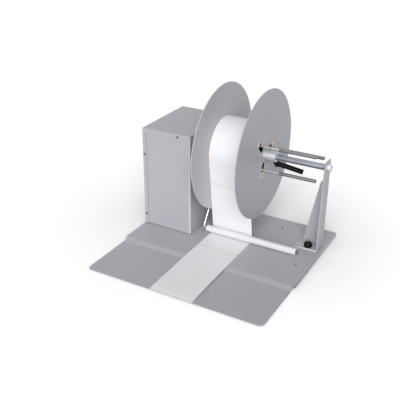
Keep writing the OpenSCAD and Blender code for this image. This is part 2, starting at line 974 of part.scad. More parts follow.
module motor_screws() {
    color("silver")
    on_motor(bracket_x + motor_plate_t)
        for (i = [0 : motor_bolts - 1])
            rotate(bolt_turn + i * 360 / motor_bolts)
                translate([motor_bolt_r, 0, 0])
                    socket_screw(motor_screw_d, motor_head_d, motor_head_h, motor_screw_l);
}

// Places of the board's holes
board_spots = [
    for (x = [board_hole_inset, board_w - board_hole_inset])
        for (y = [board_hole_inset, board_d - board_hole_inset])
            [board_x + x, board_y + y]
];

module control_board() {
    part_z = floor_z + board_lift + board_t / 2;
    margin = 2 * board_hole_inset;
    relay_w = 16;
    relay_h = 15;
    relay_d = min(13, board_d - 2 * margin);
    terminal_w = 8;
    terminal_h = 10;
    capacitor_d = 13;
    capacitor_h = 22;
    color("darkgreen")
    difference() {
        union() {
            translate([board_x, board_y, floor_z + board_lift])
                cube([board_w, board_d, board_t]);
            translate([board_x + margin, board_y + margin, part_z])
                cube([relay_w, relay_d, relay_h]);
            translate([board_x + board_w - terminal_w, board_y + margin, part_z])
                cube([terminal_w, board_d - 2 * margin, terminal_h]);
            translate([board_x + board_w / 2 + capacitor_d / 2, board_y + board_d / 2, part_z])
                cylinder(d = capacitor_d, h = capacitor_h);
        }
        for (spot = board_spots)
            translate([spot[0], spot[1], floor_z])
                cylinder(d = standoff_d / 2 + 2 * seat_gap, h = board_lift + 2 * board_t);
    }
}

module board_standoffs() {
    color("goldenrod")
    for (spot = board_spots)
        translate([spot[0], spot[1], floor_z]) {
            cylinder(d = standoff_d, h = board_lift, $fn = 6);
            cylinder(d = standoff_d / 2, h = board_lift + board_t + standoff_tip);
        }
}

module power_supply() {
    wall = 1.2;
    slots = 6;
    slot_d = 4;
    slot_pitch = supply_l / (slots + 1);
    slot_z = floor_z + supply_h - wall;
    color("lightgray")
    difference() {
        translate([supply_x, supply_y, floor_z])
            cube([supply_w, supply_l, supply_h]);
        for (i = [1 : slots])
            translate([supply_x + slot_pitch, supply_y + i * slot_pitch - slot_d / 2, slot_z])
                cube([supply_w - 2 * slot_pitch, slot_d, wall + cut]);
        base_screw_holes(seat_gap);
    }
}

// A control's bezel and body on the rear wall, standing out along +Z
module rear_block(w, h, body_w, body_h, body_l) {
    translate([-w / 2, -h / 2, 0])
        linear_extrude(bezel_t)
            corner_rect(w, h, [bezel_r, bezel_r, bezel_r, bezel_r]);
    translate([-body_w / 2, -body_h / 2, -body_l])
        cube([body_w, body_h, body_l + bezel_t / 2]);
}

module power_inlet() {
    corner = 4;
    color("black")
    on_rear(left_col_x, low_row_z)
        difference() {
            rear_block(inlet_w, inlet_h, inlet_body_w, inlet_body_h, inlet_body_l);
            translate([0, 0, bezel_t - inlet_recess_l])
                linear_extrude(inlet_recess_l + cut)
                    difference() {
                        square([inlet_recess_w, inlet_recess_h], center = true);
                        for (side = [-1, 1])
                            translate([side * inlet_recess_w / 2, -inlet_recess_h / 2])
                                rotate(45)
                                    square(corner * sqrt(2), center = true);
                    }
        }
}

module inlet_pins() {
    side = inlet_pin_offset;
    spots = [[-inlet_pin_pitch, side], [0, -side], [inlet_pin_pitch, side]];
    color("gold")
    on_rear(left_col_x, low_row_z)
        for (spot = spots)
            translate([spot[0] - inlet_pin_w / 2, spot[1] - inlet_pin_h / 2, bezel_t - inlet_recess_l])
                cube([inlet_pin_w, inlet_pin_h, inlet_pin_l]);
}

// Pivot of a rocker: its distance from the rear wall's face
rocker_pivot = bezel_t - rocker_sink;

module rocker_switch(x, z) {
    pin_hole_l = rocker_w + 2 * rocker_pin_reach + 2 * run_gap;
    on_rear(x, z)
        difference() {
            rear_block(switch_w, switch_h, switch_body_w, switch_body_h, switch_body_l);
            translate([-rocker_recess_w / 2, -rocker_recess_h / 2, bezel_t - rocker_recess_l])
                cube([rocker_recess_w, rocker_recess_h, rocker_recess_l + cut]);
            translate([-pin_hole_l / 2, 0, rocker_pivot])
                rotate([0, 90, 0])
                    cylinder(d = rocker_pin_d + 2 * run_gap, h = pin_hole_l);
        }
}

// A rocker with two sloped faces and a pivot pin, tipped to its off side
module rocker(x, z) {
    half = rocker_h / 2;
    ridge = 1.5;
    on_rear(x, z)
        translate([0, 0, rocker_pivot])
            rotate([rocker_tilt, 0, 0])
                rotate([90, 0, 90])
                    union() {
                        translate([0, 0, -rocker_w / 2])
                            linear_extrude(rocker_w)
                                polygon([
                                    [-half, rocker_out], [0, rocker_out - ridge], [half, rocker_out],
                                    [half, 0], [half / 2, -rocker_back], [-half / 2, -rocker_back],
                                    [-half, 0]
                                ]);
                        translate([0, 0, -rocker_w / 2 - rocker_pin_reach])
                            cylinder(d = rocker_pin_d, h = rocker_w + 2 * rocker_pin_reach);
                    }
}

module power_switch() {
    color("black")
        rocker_switch(right_col_x, low_row_z);
}

module power_rocker() {
    color("firebrick")
        rocker(right_col_x, low_row_z);
}

module direction_switch() {
    color("black")
        rocker_switch(left_col_x, high_row_z);
}

module direction_rocker() {
    color("dimgray")
        rocker(left_col_x, high_row_z);
}

module speed_dial_base() {
    nut_d = dial_thread_d + 2 * dial_nut_wall;
    color("gray")
    on_rear(right_col_x, high_row_z)
        difference() {
            union() {
                translate([0, 0, -sheet_t - dial_l])
                    cylinder(d = dial_d, h = dial_l);
                translate([0, 0, -sheet_t - cut])
                    cylinder(d = dial_thread_d, h = sheet_t + dial_nut_h + cut);
                cylinder(d = nut_d, h = dial_nut_h, $fn = 6);
            }
            translate([0, 0, -sheet_t - dial_l / 2])
                cylinder(d = dial_shaft_d + 2 * run_gap, h = dial_l + sheet_t + dial_nut_h);
        }
}

// The knob's grip in plan: a circle with flutes
module knob_grip() {
    difference() {
        circle(d = knob_d - 2 * knob_skirt);
        for (i = [0 : knob_flutes - 1])
            rotate(i * 360 / knob_flutes)
                translate([knob_d / 2 - knob_skirt, 0])
                    circle(d = knob_flute_d, $fn = 24);
    }
}

module speed_knob() {
    skirt_h = 3;
    pointer = [1.2, 0.8];
    face_z = dial_nut_h + knob_gap;
    shaft_z = -sheet_t - dial_l / 2 + free_gap;
    color("black")
    on_rear(right_col_x, high_row_z)
        difference() {
            union() {
                translate([0, 0, shaft_z])
                    cylinder(d = dial_shaft_d, h = face_z - shaft_z + cut);
                translate([0, 0, face_z])
                    cylinder(d = knob_d, h = skirt_h);
                translate([0, 0, face_z + skirt_h / 2])
                    linear_extrude(knob_l - skirt_h / 2)
                        knob_grip();
            }
            translate([-pointer[0] / 2, -knob_d / 2, face_z + knob_l - pointer[1]])
                cube([pointer[0], knob_d / 2, pointer[1] + cut]);
        }
}

// Children on the dancer's pivot, with +Z along X
module on_pivot(x) {
    translate([x, pivot_y, pivot_z])
        rotate([0, 90, 0])
            children();
}

module dancer_bush() {
    color("peru")
    difference() {
        union() {
            on_pivot(box_w)
                cylinder(d = bush_flange_d, h = bush_flange_t);
            on_pivot(wall_in_x - bush_barrel_l)
                cylinder(d = bush_barrel_d, h = bush_barrel_l + sheet_t + bush_flange_t / 2);
        }
        on_pivot(wall_in_x - bush_barrel_l - cut)
            cylinder(d = arm_d + 2 * run_gap, h = bush_barrel_l + sheet_t + bush_flange_t + 2 * cut);
    }
}

// A quarter bend of the rod in the X and Z plane, from +X to +Z about the origin
module rod_bend() {
    rotate([90, 0, 0])
        rotate_extrude(angle = 90)
            translate([arm_bend_r, 0])
                circle(arm_r);
}

// One bent rod: pivot, arm and roller axle
module dancer_arm() {
    straight = arm_l - 2 * arm_bend_r;
    drill_d = roller_screw_d + 2 * seat_gap;
    color("whitesmoke")
    translate([0, pivot_y, pivot_z])
        rotate([-arm_lean, 0, 0])
            difference() {
                union() {
                    translate([arm_tail_x, 0, 0])
                        rotate([0, 90, 0])
                            cylinder(r = arm_r, h = arm_x - arm_bend_r - arm_tail_x);
                    translate([arm_x - arm_bend_r, 0, -arm_bend_r])
                        rod_bend();
                    translate([arm_x, 0, -arm_bend_r - straight])
                        cylinder(r = arm_r, h = straight);
                    translate([arm_x + arm_bend_r, 0, -arm_l + arm_bend_r])
                        rotate([0, 180, 0])
                            rod_bend();
                    translate([arm_x + arm_bend_r, 0, -arm_l])
                        rotate([0, 90, 0])
                            cylinder(r = arm_r, h = axle_end_x - arm_x - arm_bend_r);
                }
                translate([axle_end_x - roller_screw_l, 0, -arm_l])
                    rotate([0, 90, 0])
                        cylinder(d = drill_d, h = roller_screw_l + cut);
            }
}

module arm_collar() {
    color("gray")
    on_pivot(box_w + bush_flange_t + free_gap)
        ring(collar_d, arm_d + 2 * seat_gap, collar_l);
}

// Cam on the pivot's inner end: a hub with a nose that points up to the switch
module sensor_cam() {
    color("ivory")
    on_pivot(cam_x)
        difference() {
            union() {
                cylinder(d = cam_d, h = cam_l);
                translate([-cam_nose_r + cam_nose_w / 2, -cam_nose_w / 2, 0])
                    cube([cam_nose_r - cam_nose_w / 2, cam_nose_w, cam_l]);
                translate([-cam_nose_r + cam_nose_w / 2, 0, 0])
                    cylinder(d = cam_nose_w, h = cam_l);
            }
            translate([0, 0, -cut])
                cylinder(d = arm_d + 2 * seat_gap, h = cam_l + 2 * cut);
        }
}

// The switch hangs above the cam with its button towards the nose
switch_z = pivot_z + cam_nose_r + free_gap + switch_button_h;
switch_x = cam_x + (cam_l - switch_case_t) / 2;

module tension_switch() {
    color("black")
    union() {
        translate([switch_x, pivot_y - switch_case_w / 2, switch_z])
            cube([switch_case_t, switch_case_w, switch_case_h]);
        translate([switch_x + switch_case_t / 2, pivot_y, switch_z - switch_button_h])
            cylinder(d = switch_button_d, h = switch_button_h + cut);
    }
}

// An angle of sheet that carries the switch on the side wall
module switch_bracket() {
    top_z = switch_z + switch_case_h;
    half = switch_case_w / 2;
    color("silver")
    union() {
        translate([switch_x, pivot_y - half, top_z])
            cube([wall_in_x - switch_x, switch_case_w, switch_plate_t]);
        translate([wall_in_x - switch_plate_t, pivot_y - half, top_z])
            cube([switch_plate_t, switch_case_w, switch_plate_foot]);
    }
}

// Children on the roller's axis, with +Z along X
module on_roller(x) {
    translate([x, roller_y, roller_z])
        rotate([0, 90, 0])
            children();
}

module guide_roller() {
    color("white")
    on_roller(roller_x)
        ring(roller_d, roller_bore_d, roller_l);
}

module roller_plugs() {
    color("lightgray")
    for (x = [roller_x, roller_x + roller_l - roller_plug_l])
        on_roller(x)
            ring(roller_bore_d - 2 * seat_gap, arm_d + 2 * run_gap, roller_plug_l);
}

module roller_screw() {
    color("dimgray")
    on_roller(axle_end_x)
        socket_screw(roller_screw_d, roller_screw_head_d, roller_screw_head_h, roller_screw_l - free_gap);
}

// A flange disc with its centre hole and three slots, standing on z = 0 of the spindle frame
module flange_disc(slot_width, twist) {
    linear_extrude(disc_t)
        difference() {
            circle(d = disc_d, $fn = 180);
            circle(d = spigot_d + 2 * seat_gap);
            for (i = [0 : rods - 1])
                rotate(slot_angle + twist + 90 + i * 360 / rods)
                    slot_2d(slot_in_r, slot_out_r, slot_width);
        }
}

module inner_flange() {
    color("lightgray")
    on_axis(inner_disc_x)
        flange_disc(foot_slot_w, 0);
}

module outer_flange() {
    color("silver")
    on_axis(outer_disc_x)
        flange_disc(slot_w, slot_twist);
}

// A hub with a spigot through its disc; its bore takes the shaft
module disc_hub(length, bore_gap) {
    difference() {
        union() {
            cylinder(d = hub_d, h = length);
            translate([0, 0, length - cut])
                cylinder(d = spigot_d, h = disc_t + cut);
        }
        translate([0, 0, -cut])
            cylinder(d = shaft_d + 2 * bore_gap, h = length + disc_t + 2 * cut);
    }
}

// Places of the set screws along the spindle, and the radius of what they sit in
set_screw_spots = [[inner_disc_x - inner_hub_l / 2, hub_d / 2]];

module inner_hub() {
    spot = set_screw_spots[0];
    color("lightgray")
    difference() {
        on_axis(inner_disc_x - inner_hub_l)
            disc_hub(inner_hub_l, seat_gap);
        on_spoke(spot[0], 90)
            rotate([0, 90, 0])
                cylinder(d = set_screw_d + 2 * seat_gap, h = hub_d);
    }
}

module set_screws() {
    color("dimgray")
    for (spot = set_screw_spots)
        on_spoke(spot[0], 90)
            translate([shaft_r + seat_gap, 0, 0])
                rotate([0, 90, 0])
                    difference() {
                        cylinder(d = set_screw_d, h = spot[1] - shaft_r - 2 * seat_gap);
                        translate([0, 0, spot[1] - shaft_r - set_screw_d / 2])
                            cylinder(d = set_screw_d / 2, h = set_screw_d, $fn = 6);
                    }
}

lever_x = outer_disc_x1 + lever_from_disc;

module outer_hub() {
    color("gainsboro")
    difference() {
        on_axis(outer_disc_x1 + outer_hub_l)
            mirror([0, 0, 1])
                disc_hub(outer_hub_l, run_gap);
        on_spoke(lever_x, lever_angle)
            rotate([0, 90, 0])
                cylinder(d = lever_stud_d + 2 * run_gap, h = hub_d);
    }
}

lever_gap = 2.5;
lever_root = hub_d / 2 + lever_gap;
lever_stud_grip = 8;
lever_stud_end = lever_root + lever_stud_grip;
lever_tip_w = 10;
lever_tip_r = 2.5;
lever_tip_l = 3;
lever_slope = atan2(lever_rise, lever_reach);

// Black clamping lever: a round hub and an arm that rises along the spindle to a square end
module clamp_lever() {
    arm_from = lever_hub_r - lever_hub_d / 2;
    stud_hole_l = lever_stud_end - lever_root + seat_gap;
    color("black")
    on_spoke(lever_x, lever_angle)
        difference() {
            union() {
                translate([lever_root, 0, 0])
                    rotate([0, 90, 0])
                        cylinder(d = lever_hub_d, h = lever_hub_r - lever_root);
                hull() {
                    translate([arm_from, 0, 0])
                        sphere(d = lever_hub_d - 1, $fn = 32);
                    translate([arm_from + lever_rise, 0, lever_reach])
                        rotate([0, lever_slope, 0])
                            translate([-lever_tip_w / 2, -lever_tip_w / 2, 0])
                                linear_extrude(lever_tip_l)
                                    corner_rect(lever_tip_w, lever_tip_w, [for (i = [1 : 4]) lever_tip_r]);
                }
            }
            translate([lever_root - cut, 0, 0])
                rotate([0, 90, 0])
                    cylinder(d = lever_stud_d + 2 * seat_gap, h = stud_hole_l + cut);
        }
}

module clamp_stud() {
    start = shaft_r + free_gap;
    color("silver")
    on_spoke(lever_x, lever_angle)
        translate([start, 0, 0])
            rotate([0, 90, 0])
                cylinder(d = lever_stud_d, h = lever_stud_end - start);
}

// Children on the line of one core rod, with +Z along the spindle
module on_rod(i, x) {
    on_spoke(x, slot_angle + i * 360 / rods)
        translate([rod_r, 0, 0])
            children();
}

// One turned rod: threaded foot, thin part under the core, thicker drilled end
module core_rod(i) {
    foot_x = inner_disc_x - nut_flange_t - nut_h - rod_foot_tail;
    grip_x = outer_disc_x1 + grip_from_disc;
    foot_r = rod_foot_d / 2;
    thin_r = rod_d / 2;
    grip_r = rod_grip_d / 2;
    color("silver")
    difference() {
        on_rod(i, 0)
            rotate_extrude()
                polygon([
                    [0, foot_x], [foot_r, foot_x], [foot_r, inner_disc_x1], [thin_r, inner_disc_x1],
                    [thin_r, grip_x], [grip_r, grip_x + rod_chamfer], [grip_r, rod_end_x - rod_chamfer],
                    [grip_r - rod_chamfer, rod_end_x], [0, rod_end_x]
                ]);
        for (x = [grip_x + rod_hole_at, rod_end_x - rod_end_hole_inset])
            on_rod(i, x)
                rotate([0, 90, 0])
                    cylinder(d = rod_hole_d, h = rod_grip_d);
    }
}

module rod_nut(i) {
    color("silver")
    on_rod(i, inner_disc_x - nut_flange_t - nut_h)
        difference() {
            union() {
                cylinder(d = nut_af / cos(30), h = nut_h + cut / 2, $fn = 6);
                translate([0, 0, nut_h])
                    cylinder(d = nut_flange_d, h = nut_flange_t);
            }
            translate([0, 0, -cut])
                cylinder(d = rod_foot_d + 2 * seat_gap, h = nut_h + nut_flange_t + 2 * cut);
        }
}

module label_core() {
    color("burlywood")
    on_axis(web_x)
        ring(2 * core_r, core_bore_d, web_w);
}

module label_roll() {
    color("white")
    on_axis(web_x)
        ring(roll_d, 2 * (core_r + run_gap), web_w);
}

// A point of the web's turn under the roller, at an angle from the rear towards the top
function turn_point(r, angle) = [roller_y + r * cos(angle), roller_z + r * sin(angle)];

// One side of the web's turn, from the plate up to the rising stretch and on to the roll
function web_side(r) = concat(
    [for (i = [0 : web_steps]) turn_point(r, -90 + i * (90 + web_tilt) / web_steps)],
    [turn_point(r, web_tilt) + web_rise * [-sin(web_tilt), cos(web_tilt)]]
);

// One side of the web on the plates, lifted off them by a height
function web_floor(lift) = [
    [0, plate_t + lift], [apron_d, plate_t + lift], [joggle_end, floor_z + lift]
];

function backwards(points) = [for (i = [len(points) - 1 : -1 : 0]) points[i]];

// The web in side view: flat on the plates, a turn under the roller, then straight up to the roll
module web_profile() {
    polygon(concat(
        web_floor(0), web_side(web_turn_r),
        backwards(web_side(web_turn_r - web_t)), backwards(web_floor(web_t))
    ));
}

module label_web() {
    color("white")
    extrude_x(web_x, web_w)
        web_profile();
}

// Front view of the post: web and foot in one bend
module post_profile() {
    w = post_foot_l;
    h = axis_h + post_over_axis + cut;
    translate([post_x1 - w, floor_z])
        difference() {
            corner_rect(w, h, [0, post_bend_r, 0, 0]);
            translate([-cut, post_t])
                corner_rect(w - post_t + cut, h, [0, post_bend_r - post_t, 0, 0]);
        }
}

// Side view of the post: its front edge leans back towards a rounded top corner
module post_side_profile() {
    corner_r = 4;
    top_z = axis_z + post_over_axis;
    hull() {
        translate([post_y0, floor_z - cut])
            square([post_w, post_t + cut]);
        translate([post_y1 - post_top_w + corner_r, top_z - corner_r])
            circle(corner_r);
        translate([post_y1 - corner_r, top_z - corner_r])
            square(corner_r);
    }
}

// Front view of the tapered flange at the post's rear edge
module gusset_profile() {
    tip_r = 5;
    z0 = floor_z + post_t + free_gap;
    translate([post_x1, 0])
        union() {
            polygon([
                [-post_t / 2, z0], [-gusset_w, z0], [-gusset_w, z0 + gusset_edge_h],
                [-gusset_top_w, floor_z + gusset_h - tip_r], [-gusset_top_w + tip_r, floor_z + gusset_h],
                [-post_t / 2, floor_z + gusset_h]
            ]);
            translate([-gusset_top_w + tip_r, floor_z + gusset_h - tip_r])
                circle(tip_r);
        }
}

module support_post() {
    color("silver")
    difference() {
        union() {
            intersection() {
                extrude_y(post_y0 - cut, post_w + 2 * cut)
                    post_profile();
                extrude_x(post_x1 - post_foot_l - cut, post_foot_l + 2 * cut)
                    post_side_profile();
            }
            extrude_y(post_y1 - post_t, post_t)
                gusset_profile();
        }
        on_axis(post_x0 - cut)
            cylinder(d = journal_d + 2 * spigot_wall, h = post_t + 2 * cut);
        translate([thumb_x, thumb_y, floor_z - cut])
            cylinder(d = thumb_slot_w, h = post_t + 2 * cut);
        translate([post_x1 - post_foot_l - cut, thumb_y - thumb_slot_w / 2, floor_z - cut])
            cube([thumb_x - post_x1 + post_foot_l + cut, thumb_slot_w, post_t + 2 * cut]);
    }
}

module post_bush() {
    chamfer = 1;
    color("gainsboro")
    difference() {
        union() {
            on_axis(post_x0)
                cylinder(d = journal_d + 2 * spigot_wall - 2 * seat_gap, h = post_t + cut);
            on_axis(post_x1)
                cylinder(d = boss_d, h = boss_l - chamfer);
            on_axis(post_x1 + boss_l - chamfer)
                cylinder(d1 = boss_d, d2 = boss_d - 2 * chamfer, h = chamfer);
        }
        on_axis(post_x0 - cut)
            cylinder(d = journal_d + 2 * run_gap, h = post_t + boss_l + 2 * cut);
    }
}

// Black knob with a fluted edge on a screw that goes down into the nut under the plate
module foot_thumbscrew() {
    base_z = floor_z + post_t + run_gap;
    knob_r = thumb_d / 2;
    color("black")
    translate([thumb_x, thumb_y, 0])
        union() {
            difference() {
                translate([0, 0, base_z])
                    rotate_extrude()
                        union() {
                            square([knob_r - thumb_edge_r, thumb_h]);
                            square([knob_r, thumb_h - thumb_edge_r]);
                            translate([knob_r - thumb_edge_r, thumb_h - thumb_edge_r])
                                circle(thumb_edge_r);
                        }
                for (i = [0 : thumb_grips - 1])
                    rotate(i * 360 / thumb_grips)
                        translate([knob_r + thumb_grip_d / 4, 0, base_z - cut])
                            cylinder(d = thumb_grip_d, h = thumb_h + 2 * cut);
            }
            translate([0, 0, joggle_rise - foot_nut_h])
                cylinder(d = thumb_screw_d, h = base_z - joggle_rise + foot_nut_h + cut);
        }
}

module foot_nut() {
    color("silver")
    translate([thumb_x, thumb_y, joggle_rise - foot_nut_h])
        ring(thumb_screw_d + 2 * foot_nut_wall, thumb_screw_d + 2 * run_gap, foot_nut_h);
}

placed() base_plate();
placed() rubber_feet();
placed() base_screws();
placed() housing_chassis();
placed() housing_cover();
placed() cover_screws();
placed() bearing_housing();
placed() bearing_screws();
placed() spindle_bearings();
placed() spindle_shaft();
placed() spindle_pulley();
placed() drive_belt();
placed() motor_pulley();
placed() motor_shaft();
placed() gear_motor();
placed() motor_bracket();
placed() motor_screws();
placed() control_board();
placed() board_standoffs();
placed() power_supply();
placed() power_inlet();
placed() inlet_pins();
placed() power_switch();
placed() power_rocker();
placed() direction_switch();
placed() direction_rocker();
placed() speed_dial_base();
placed() speed_knob();
placed() dancer_bush();
placed() dancer_arm();
placed() arm_collar();
placed() sensor_cam();
placed() tension_switch();
placed() switch_bracket();
placed() guide_roller();
placed() roller_plugs();
placed() roller_screw();
placed() inner_flange();
placed() inner_hub();
placed() set_screws();
placed() outer_flange();
placed() outer_hub();
placed() clamp_lever();
placed() clamp_stud();
placed() core_rod(0);  // core_rod_1
placed() core_rod(1);  // core_rod_2
placed() core_rod(2);  // core_rod_3
placed() rod_nut(0);  // rod_nut_1
placed() rod_nut(1);  // rod_nut_2
placed() rod_nut(2);  // rod_nut_3
placed() label_core();
placed() label_roll();
placed() label_web();
placed() support_post();
placed() post_bush();
placed() foot_thumbscrew();
placed() foot_nut();
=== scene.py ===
# %% [markdown]
# # A tabletop label rewinder
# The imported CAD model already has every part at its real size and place. This lesson loads it as a fixed
# frame and dresses it: soft edges on the sheet metal, a powder coat, plated and turned metal, black
# plastic and a web of paper labels on its yellowish backing.

# %% Load the frame
import json
import math

import bmesh
import bpy
from mathutils import Matrix, Vector


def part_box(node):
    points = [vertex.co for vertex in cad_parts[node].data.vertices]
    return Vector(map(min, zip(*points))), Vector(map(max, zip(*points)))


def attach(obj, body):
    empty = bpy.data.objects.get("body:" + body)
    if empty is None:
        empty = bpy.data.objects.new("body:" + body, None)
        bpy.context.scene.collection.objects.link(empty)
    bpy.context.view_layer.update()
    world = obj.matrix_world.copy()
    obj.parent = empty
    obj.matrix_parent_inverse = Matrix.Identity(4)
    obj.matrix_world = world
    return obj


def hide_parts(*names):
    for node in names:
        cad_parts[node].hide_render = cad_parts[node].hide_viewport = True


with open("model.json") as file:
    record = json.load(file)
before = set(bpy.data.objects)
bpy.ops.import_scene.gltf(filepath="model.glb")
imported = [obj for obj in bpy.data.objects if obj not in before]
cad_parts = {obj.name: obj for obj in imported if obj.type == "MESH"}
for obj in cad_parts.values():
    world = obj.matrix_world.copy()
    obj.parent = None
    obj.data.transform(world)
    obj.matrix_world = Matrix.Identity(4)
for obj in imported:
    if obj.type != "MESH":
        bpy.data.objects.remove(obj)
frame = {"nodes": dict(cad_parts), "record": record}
nodes = frame["nodes"]
body_of_node = {n: b for b, ns in frame["record"]["behaviour"]["bodies"].items() for n in ns}
slot_of_node = {p["node"]: p["material_slot"] for p in frame["record"]["subparts"]}
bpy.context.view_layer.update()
MM = 0.001

# %% [markdown]
# ## The camera
# Straight edges of the base and the round rims of both discs fix where the camera stood. A lens of
# about 60 mm on a 36 mm sensor, 1.6 m from the machine and looking down on it, gives the same frame.

# %% Place the camera
CAMERA_AT = Vector((0.6134, -1.1934, 0.7860))
CAMERA_YAW = math.radians(29.51)
CAMERA_PITCH = math.radians(-26.47)
CAMERA_ROLL = math.radians(0.13)
SENSOR_WIDTH = 36.0
LENS = 59.64

camera_data = bpy.data.cameras.new("photo_camera")
camera_data.sensor_width = SENSOR_WIDTH
camera_data.lens = LENS
camera = bpy.data.objects.new("photo_camera", camera_data)
camera.matrix_world = (
    Matrix.Translation(CAMERA_AT)
    @ Matrix.Rotation(CAMERA_YAW, 4, "Z")
    @ Matrix.Rotation(math.pi / 2 + CAMERA_PITCH, 4, "X")
    @ Matrix.Rotation(CAMERA_ROLL, 4, "Z")
)
bpy.context.scene.collection.objects.link(camera)
bpy.context.scene.camera = camera
print("camera", [round(c, 3) for c in CAMERA_AT], "lens", LENS)

# %% [markdown]
# ## Floor, backdrop and light
# The machine stands on white paper under big soft lamps. The floor is a pale matt plane. For camera
# and mirror rays a little white is added to it, so that it reads as plain white. Ambient Occlusion takes
# that white away close to the machine and under it, so the floor keeps its soft shadow there. The world
# is plain white for the same rays and a dim sky for all others.

# %% The floor
FLOOR_HALF = 6.0
FLOOR_DROP = 0.3 * MM
SHADE_REACH = 0.4
SHADE_POWER = 2

scene = bpy.context.scene
scene.view_settings.view_transform = "Standard"


def seen_directly(tree):
    """1 for rays that show the background itself: from the camera, off metal, through glass."""
    rays = tree.nodes.new("ShaderNodeLightPath")
    first = tree.nodes.new("ShaderNodeMath")
    first.operation = "MAXIMUM"
    tree.links.new(rays.outputs["Is Camera Ray"], first.inputs[0])
    tree.links.new(rays.outputs["Is Glossy Ray"], first.inputs[1])
    both = tree.nodes.new("ShaderNodeMath")
    both.operation = "MAXIMUM"
    tree.links.new(first.outputs[0], both.inputs[0])
    tree.links.new(rays.outputs["Is Transmission Ray"], both.inputs[1])
    return both.outputs[0]


floor_mesh = bmesh.new()
bmesh.ops.create_grid(floor_mesh, x_segments=1, y_segments=1, size=FLOOR_HALF)
floor_data = bpy.data.meshes.new("floor")
floor_mesh.to_mesh(floor_data)
floor_mesh.free()
floor = bpy.data.objects.new("floor", floor_data)
scene.collection.objects.link(floor)
floor.location.z = -FLOOR_DROP

floor_paper = bpy.data.materials.new("floor_paper")
floor_paper.use_nodes = True
tree = floor_paper.node_tree
paper = tree.nodes["Principled BSDF"]
paper.inputs["Base Color"].default_value = (0.77, 0.77, 0.78, 1)
paper.inputs["Roughness"].default_value = 0.9
paper.inputs["Specular IOR Level"].default_value = 0.1
paper.inputs["Emission Color"].default_value = (0.48, 0.48, 0.48, 1)
near_machine = tree.nodes.new("ShaderNodeAmbientOcclusion")
near_machine.inputs["Distance"].default_value = SHADE_REACH
deeper = tree.nodes.new("ShaderNodeMath")
deeper.operation = "POWER"
deeper.inputs[1].default_value = SHADE_POWER
tree.links.new(near_machine.outputs["AO"], deeper.inputs[0])
lift = tree.nodes.new("ShaderNodeMath")
lift.operation = "MULTIPLY"
tree.links.new(seen_directly(tree), lift.inputs[0])
tree.links.new(deeper.outputs[0], lift.inputs[1])
tree.links.new(lift.outputs[0], paper.inputs["Emission Strength"])
floor_data.materials.append(floor_paper)
print("white floor,", 2 * FLOOR_HALF, "m wide")

# %% The world
world = bpy.data.worlds.new("studio")
world.use_nodes = True
scene.world = world
tree = world.node_tree
sky = tree.nodes["Background"]
sky.inputs["Color"].default_value = (0.96, 0.97, 1.0, 1)
sky.inputs["Strength"].default_value = 0.27
white = tree.nodes.new("ShaderNodeBackground")
white.inputs["Color"].default_value = (1, 1, 1, 1)
white.inputs["Strength"].default_value = 1.0
mix = tree.nodes.new("ShaderNodeMixShader")
tree.links.new(seen_directly(tree), mix.inputs["Fac"])
tree.links.new(sky.outputs[0], mix.inputs[1])
tree.links.new(white.outputs[0], mix.inputs[2])
tree.links.new(mix.outputs[0], tree.nodes["World Output"].inputs["Surface"])
print("the world is white for the camera and a dim sky for the object")

# %% Soft lamps


def soft_lamp(name, azimuth, elevation, strength, spread):
    """A wide distant lamp; azimuth 0 stands in front of the machine and 90 on its right."""
    lamp = bpy.data.lights.new(name, "SUN")
    lamp.energy = strength
    lamp.angle = math.radians(spread)
    holder = bpy.data.objects.new(name, lamp)
    holder.rotation_euler = (math.radians(90 - elevation), 0, math.radians(azimuth))
    scene.collection.objects.link(holder)


soft_lamp("key_lamp", azimuth=22, elevation=29, strength=2.6, spread=50)
soft_lamp("fill_lamp", azimuth=-50, elevation=50, strength=0.25, spread=80)
print("a key lamp beside the camera and a weak fill from the left")

# %% [markdown]
# ## Shared surface effects
# Most finishes here share three effects, so each is one node group: a fine grain that lifts the
# surface and varies its gloss, a slow drift of tone as on any large painted sheet, and the fine rings
# that a lathe leaves around the spindle's direction. All three read Object coordinates in metres.

# %% Helpers for node groups


def new_group(name, inputs, outputs):
    """An empty shader node group with named value inputs and outputs."""
    group = bpy.data.node_groups.new(name, "ShaderNodeTree")
    for socket, default in inputs.items():
        made = group.interface.new_socket(socket, in_out="INPUT", socket_type="NodeSocketFloat")
        made.default_value = default
    for socket in outputs:
        group.interface.new_socket(socket, in_out="OUTPUT", socket_type="NodeSocketFloat")
    return group, group.nodes.new("NodeGroupInput"), group.nodes.new("NodeGroupOutput")


def noise_in(group, vector, scale, detail):
    """A noise texture in a group, fed by a vector and a scale socket."""
    noise = group.nodes.new("ShaderNodeTexNoise")
    noise.inputs["Detail"].default_value = detail
    group.links.new(vector, noise.inputs["Vector"])
    group.links.new(scale, noise.inputs["Scale"])
    return noise.outputs["Fac"]


def ranged(group, value, low, high):
    """A value from 0 to 1 spread between two sockets."""
    spread = group.nodes.new("ShaderNodeMapRange")
    group.links.new(value, spread.inputs["Value"])
    group.links.new(low, spread.inputs["To Min"])
    group.links.new(high, spread.inputs["To Max"])
    return spread.outputs["Result"]


print("helpers: an empty group, a noise and a range")

# %% Grain, drift and lathe rings
RING_SPREAD = 0.02

grain_group, grain_in, grain_out = new_group(
    "fine_grain", {"Scale": 900.0, "Rough Low": 0.4, "Rough High": 0.5}, ["Height", "Roughness"]
)
coords = grain_group.nodes.new("ShaderNodeTexCoord").outputs["Object"]
grain = noise_in(grain_group, coords, grain_in.outputs["Scale"], detail=3.0)
grain_group.links.new(grain, grain_out.inputs["Height"])
rough = ranged(grain_group, grain, grain_in.outputs["Rough Low"], grain_in.outputs["Rough High"])
grain_group.links.new(rough, grain_out.inputs["Roughness"])

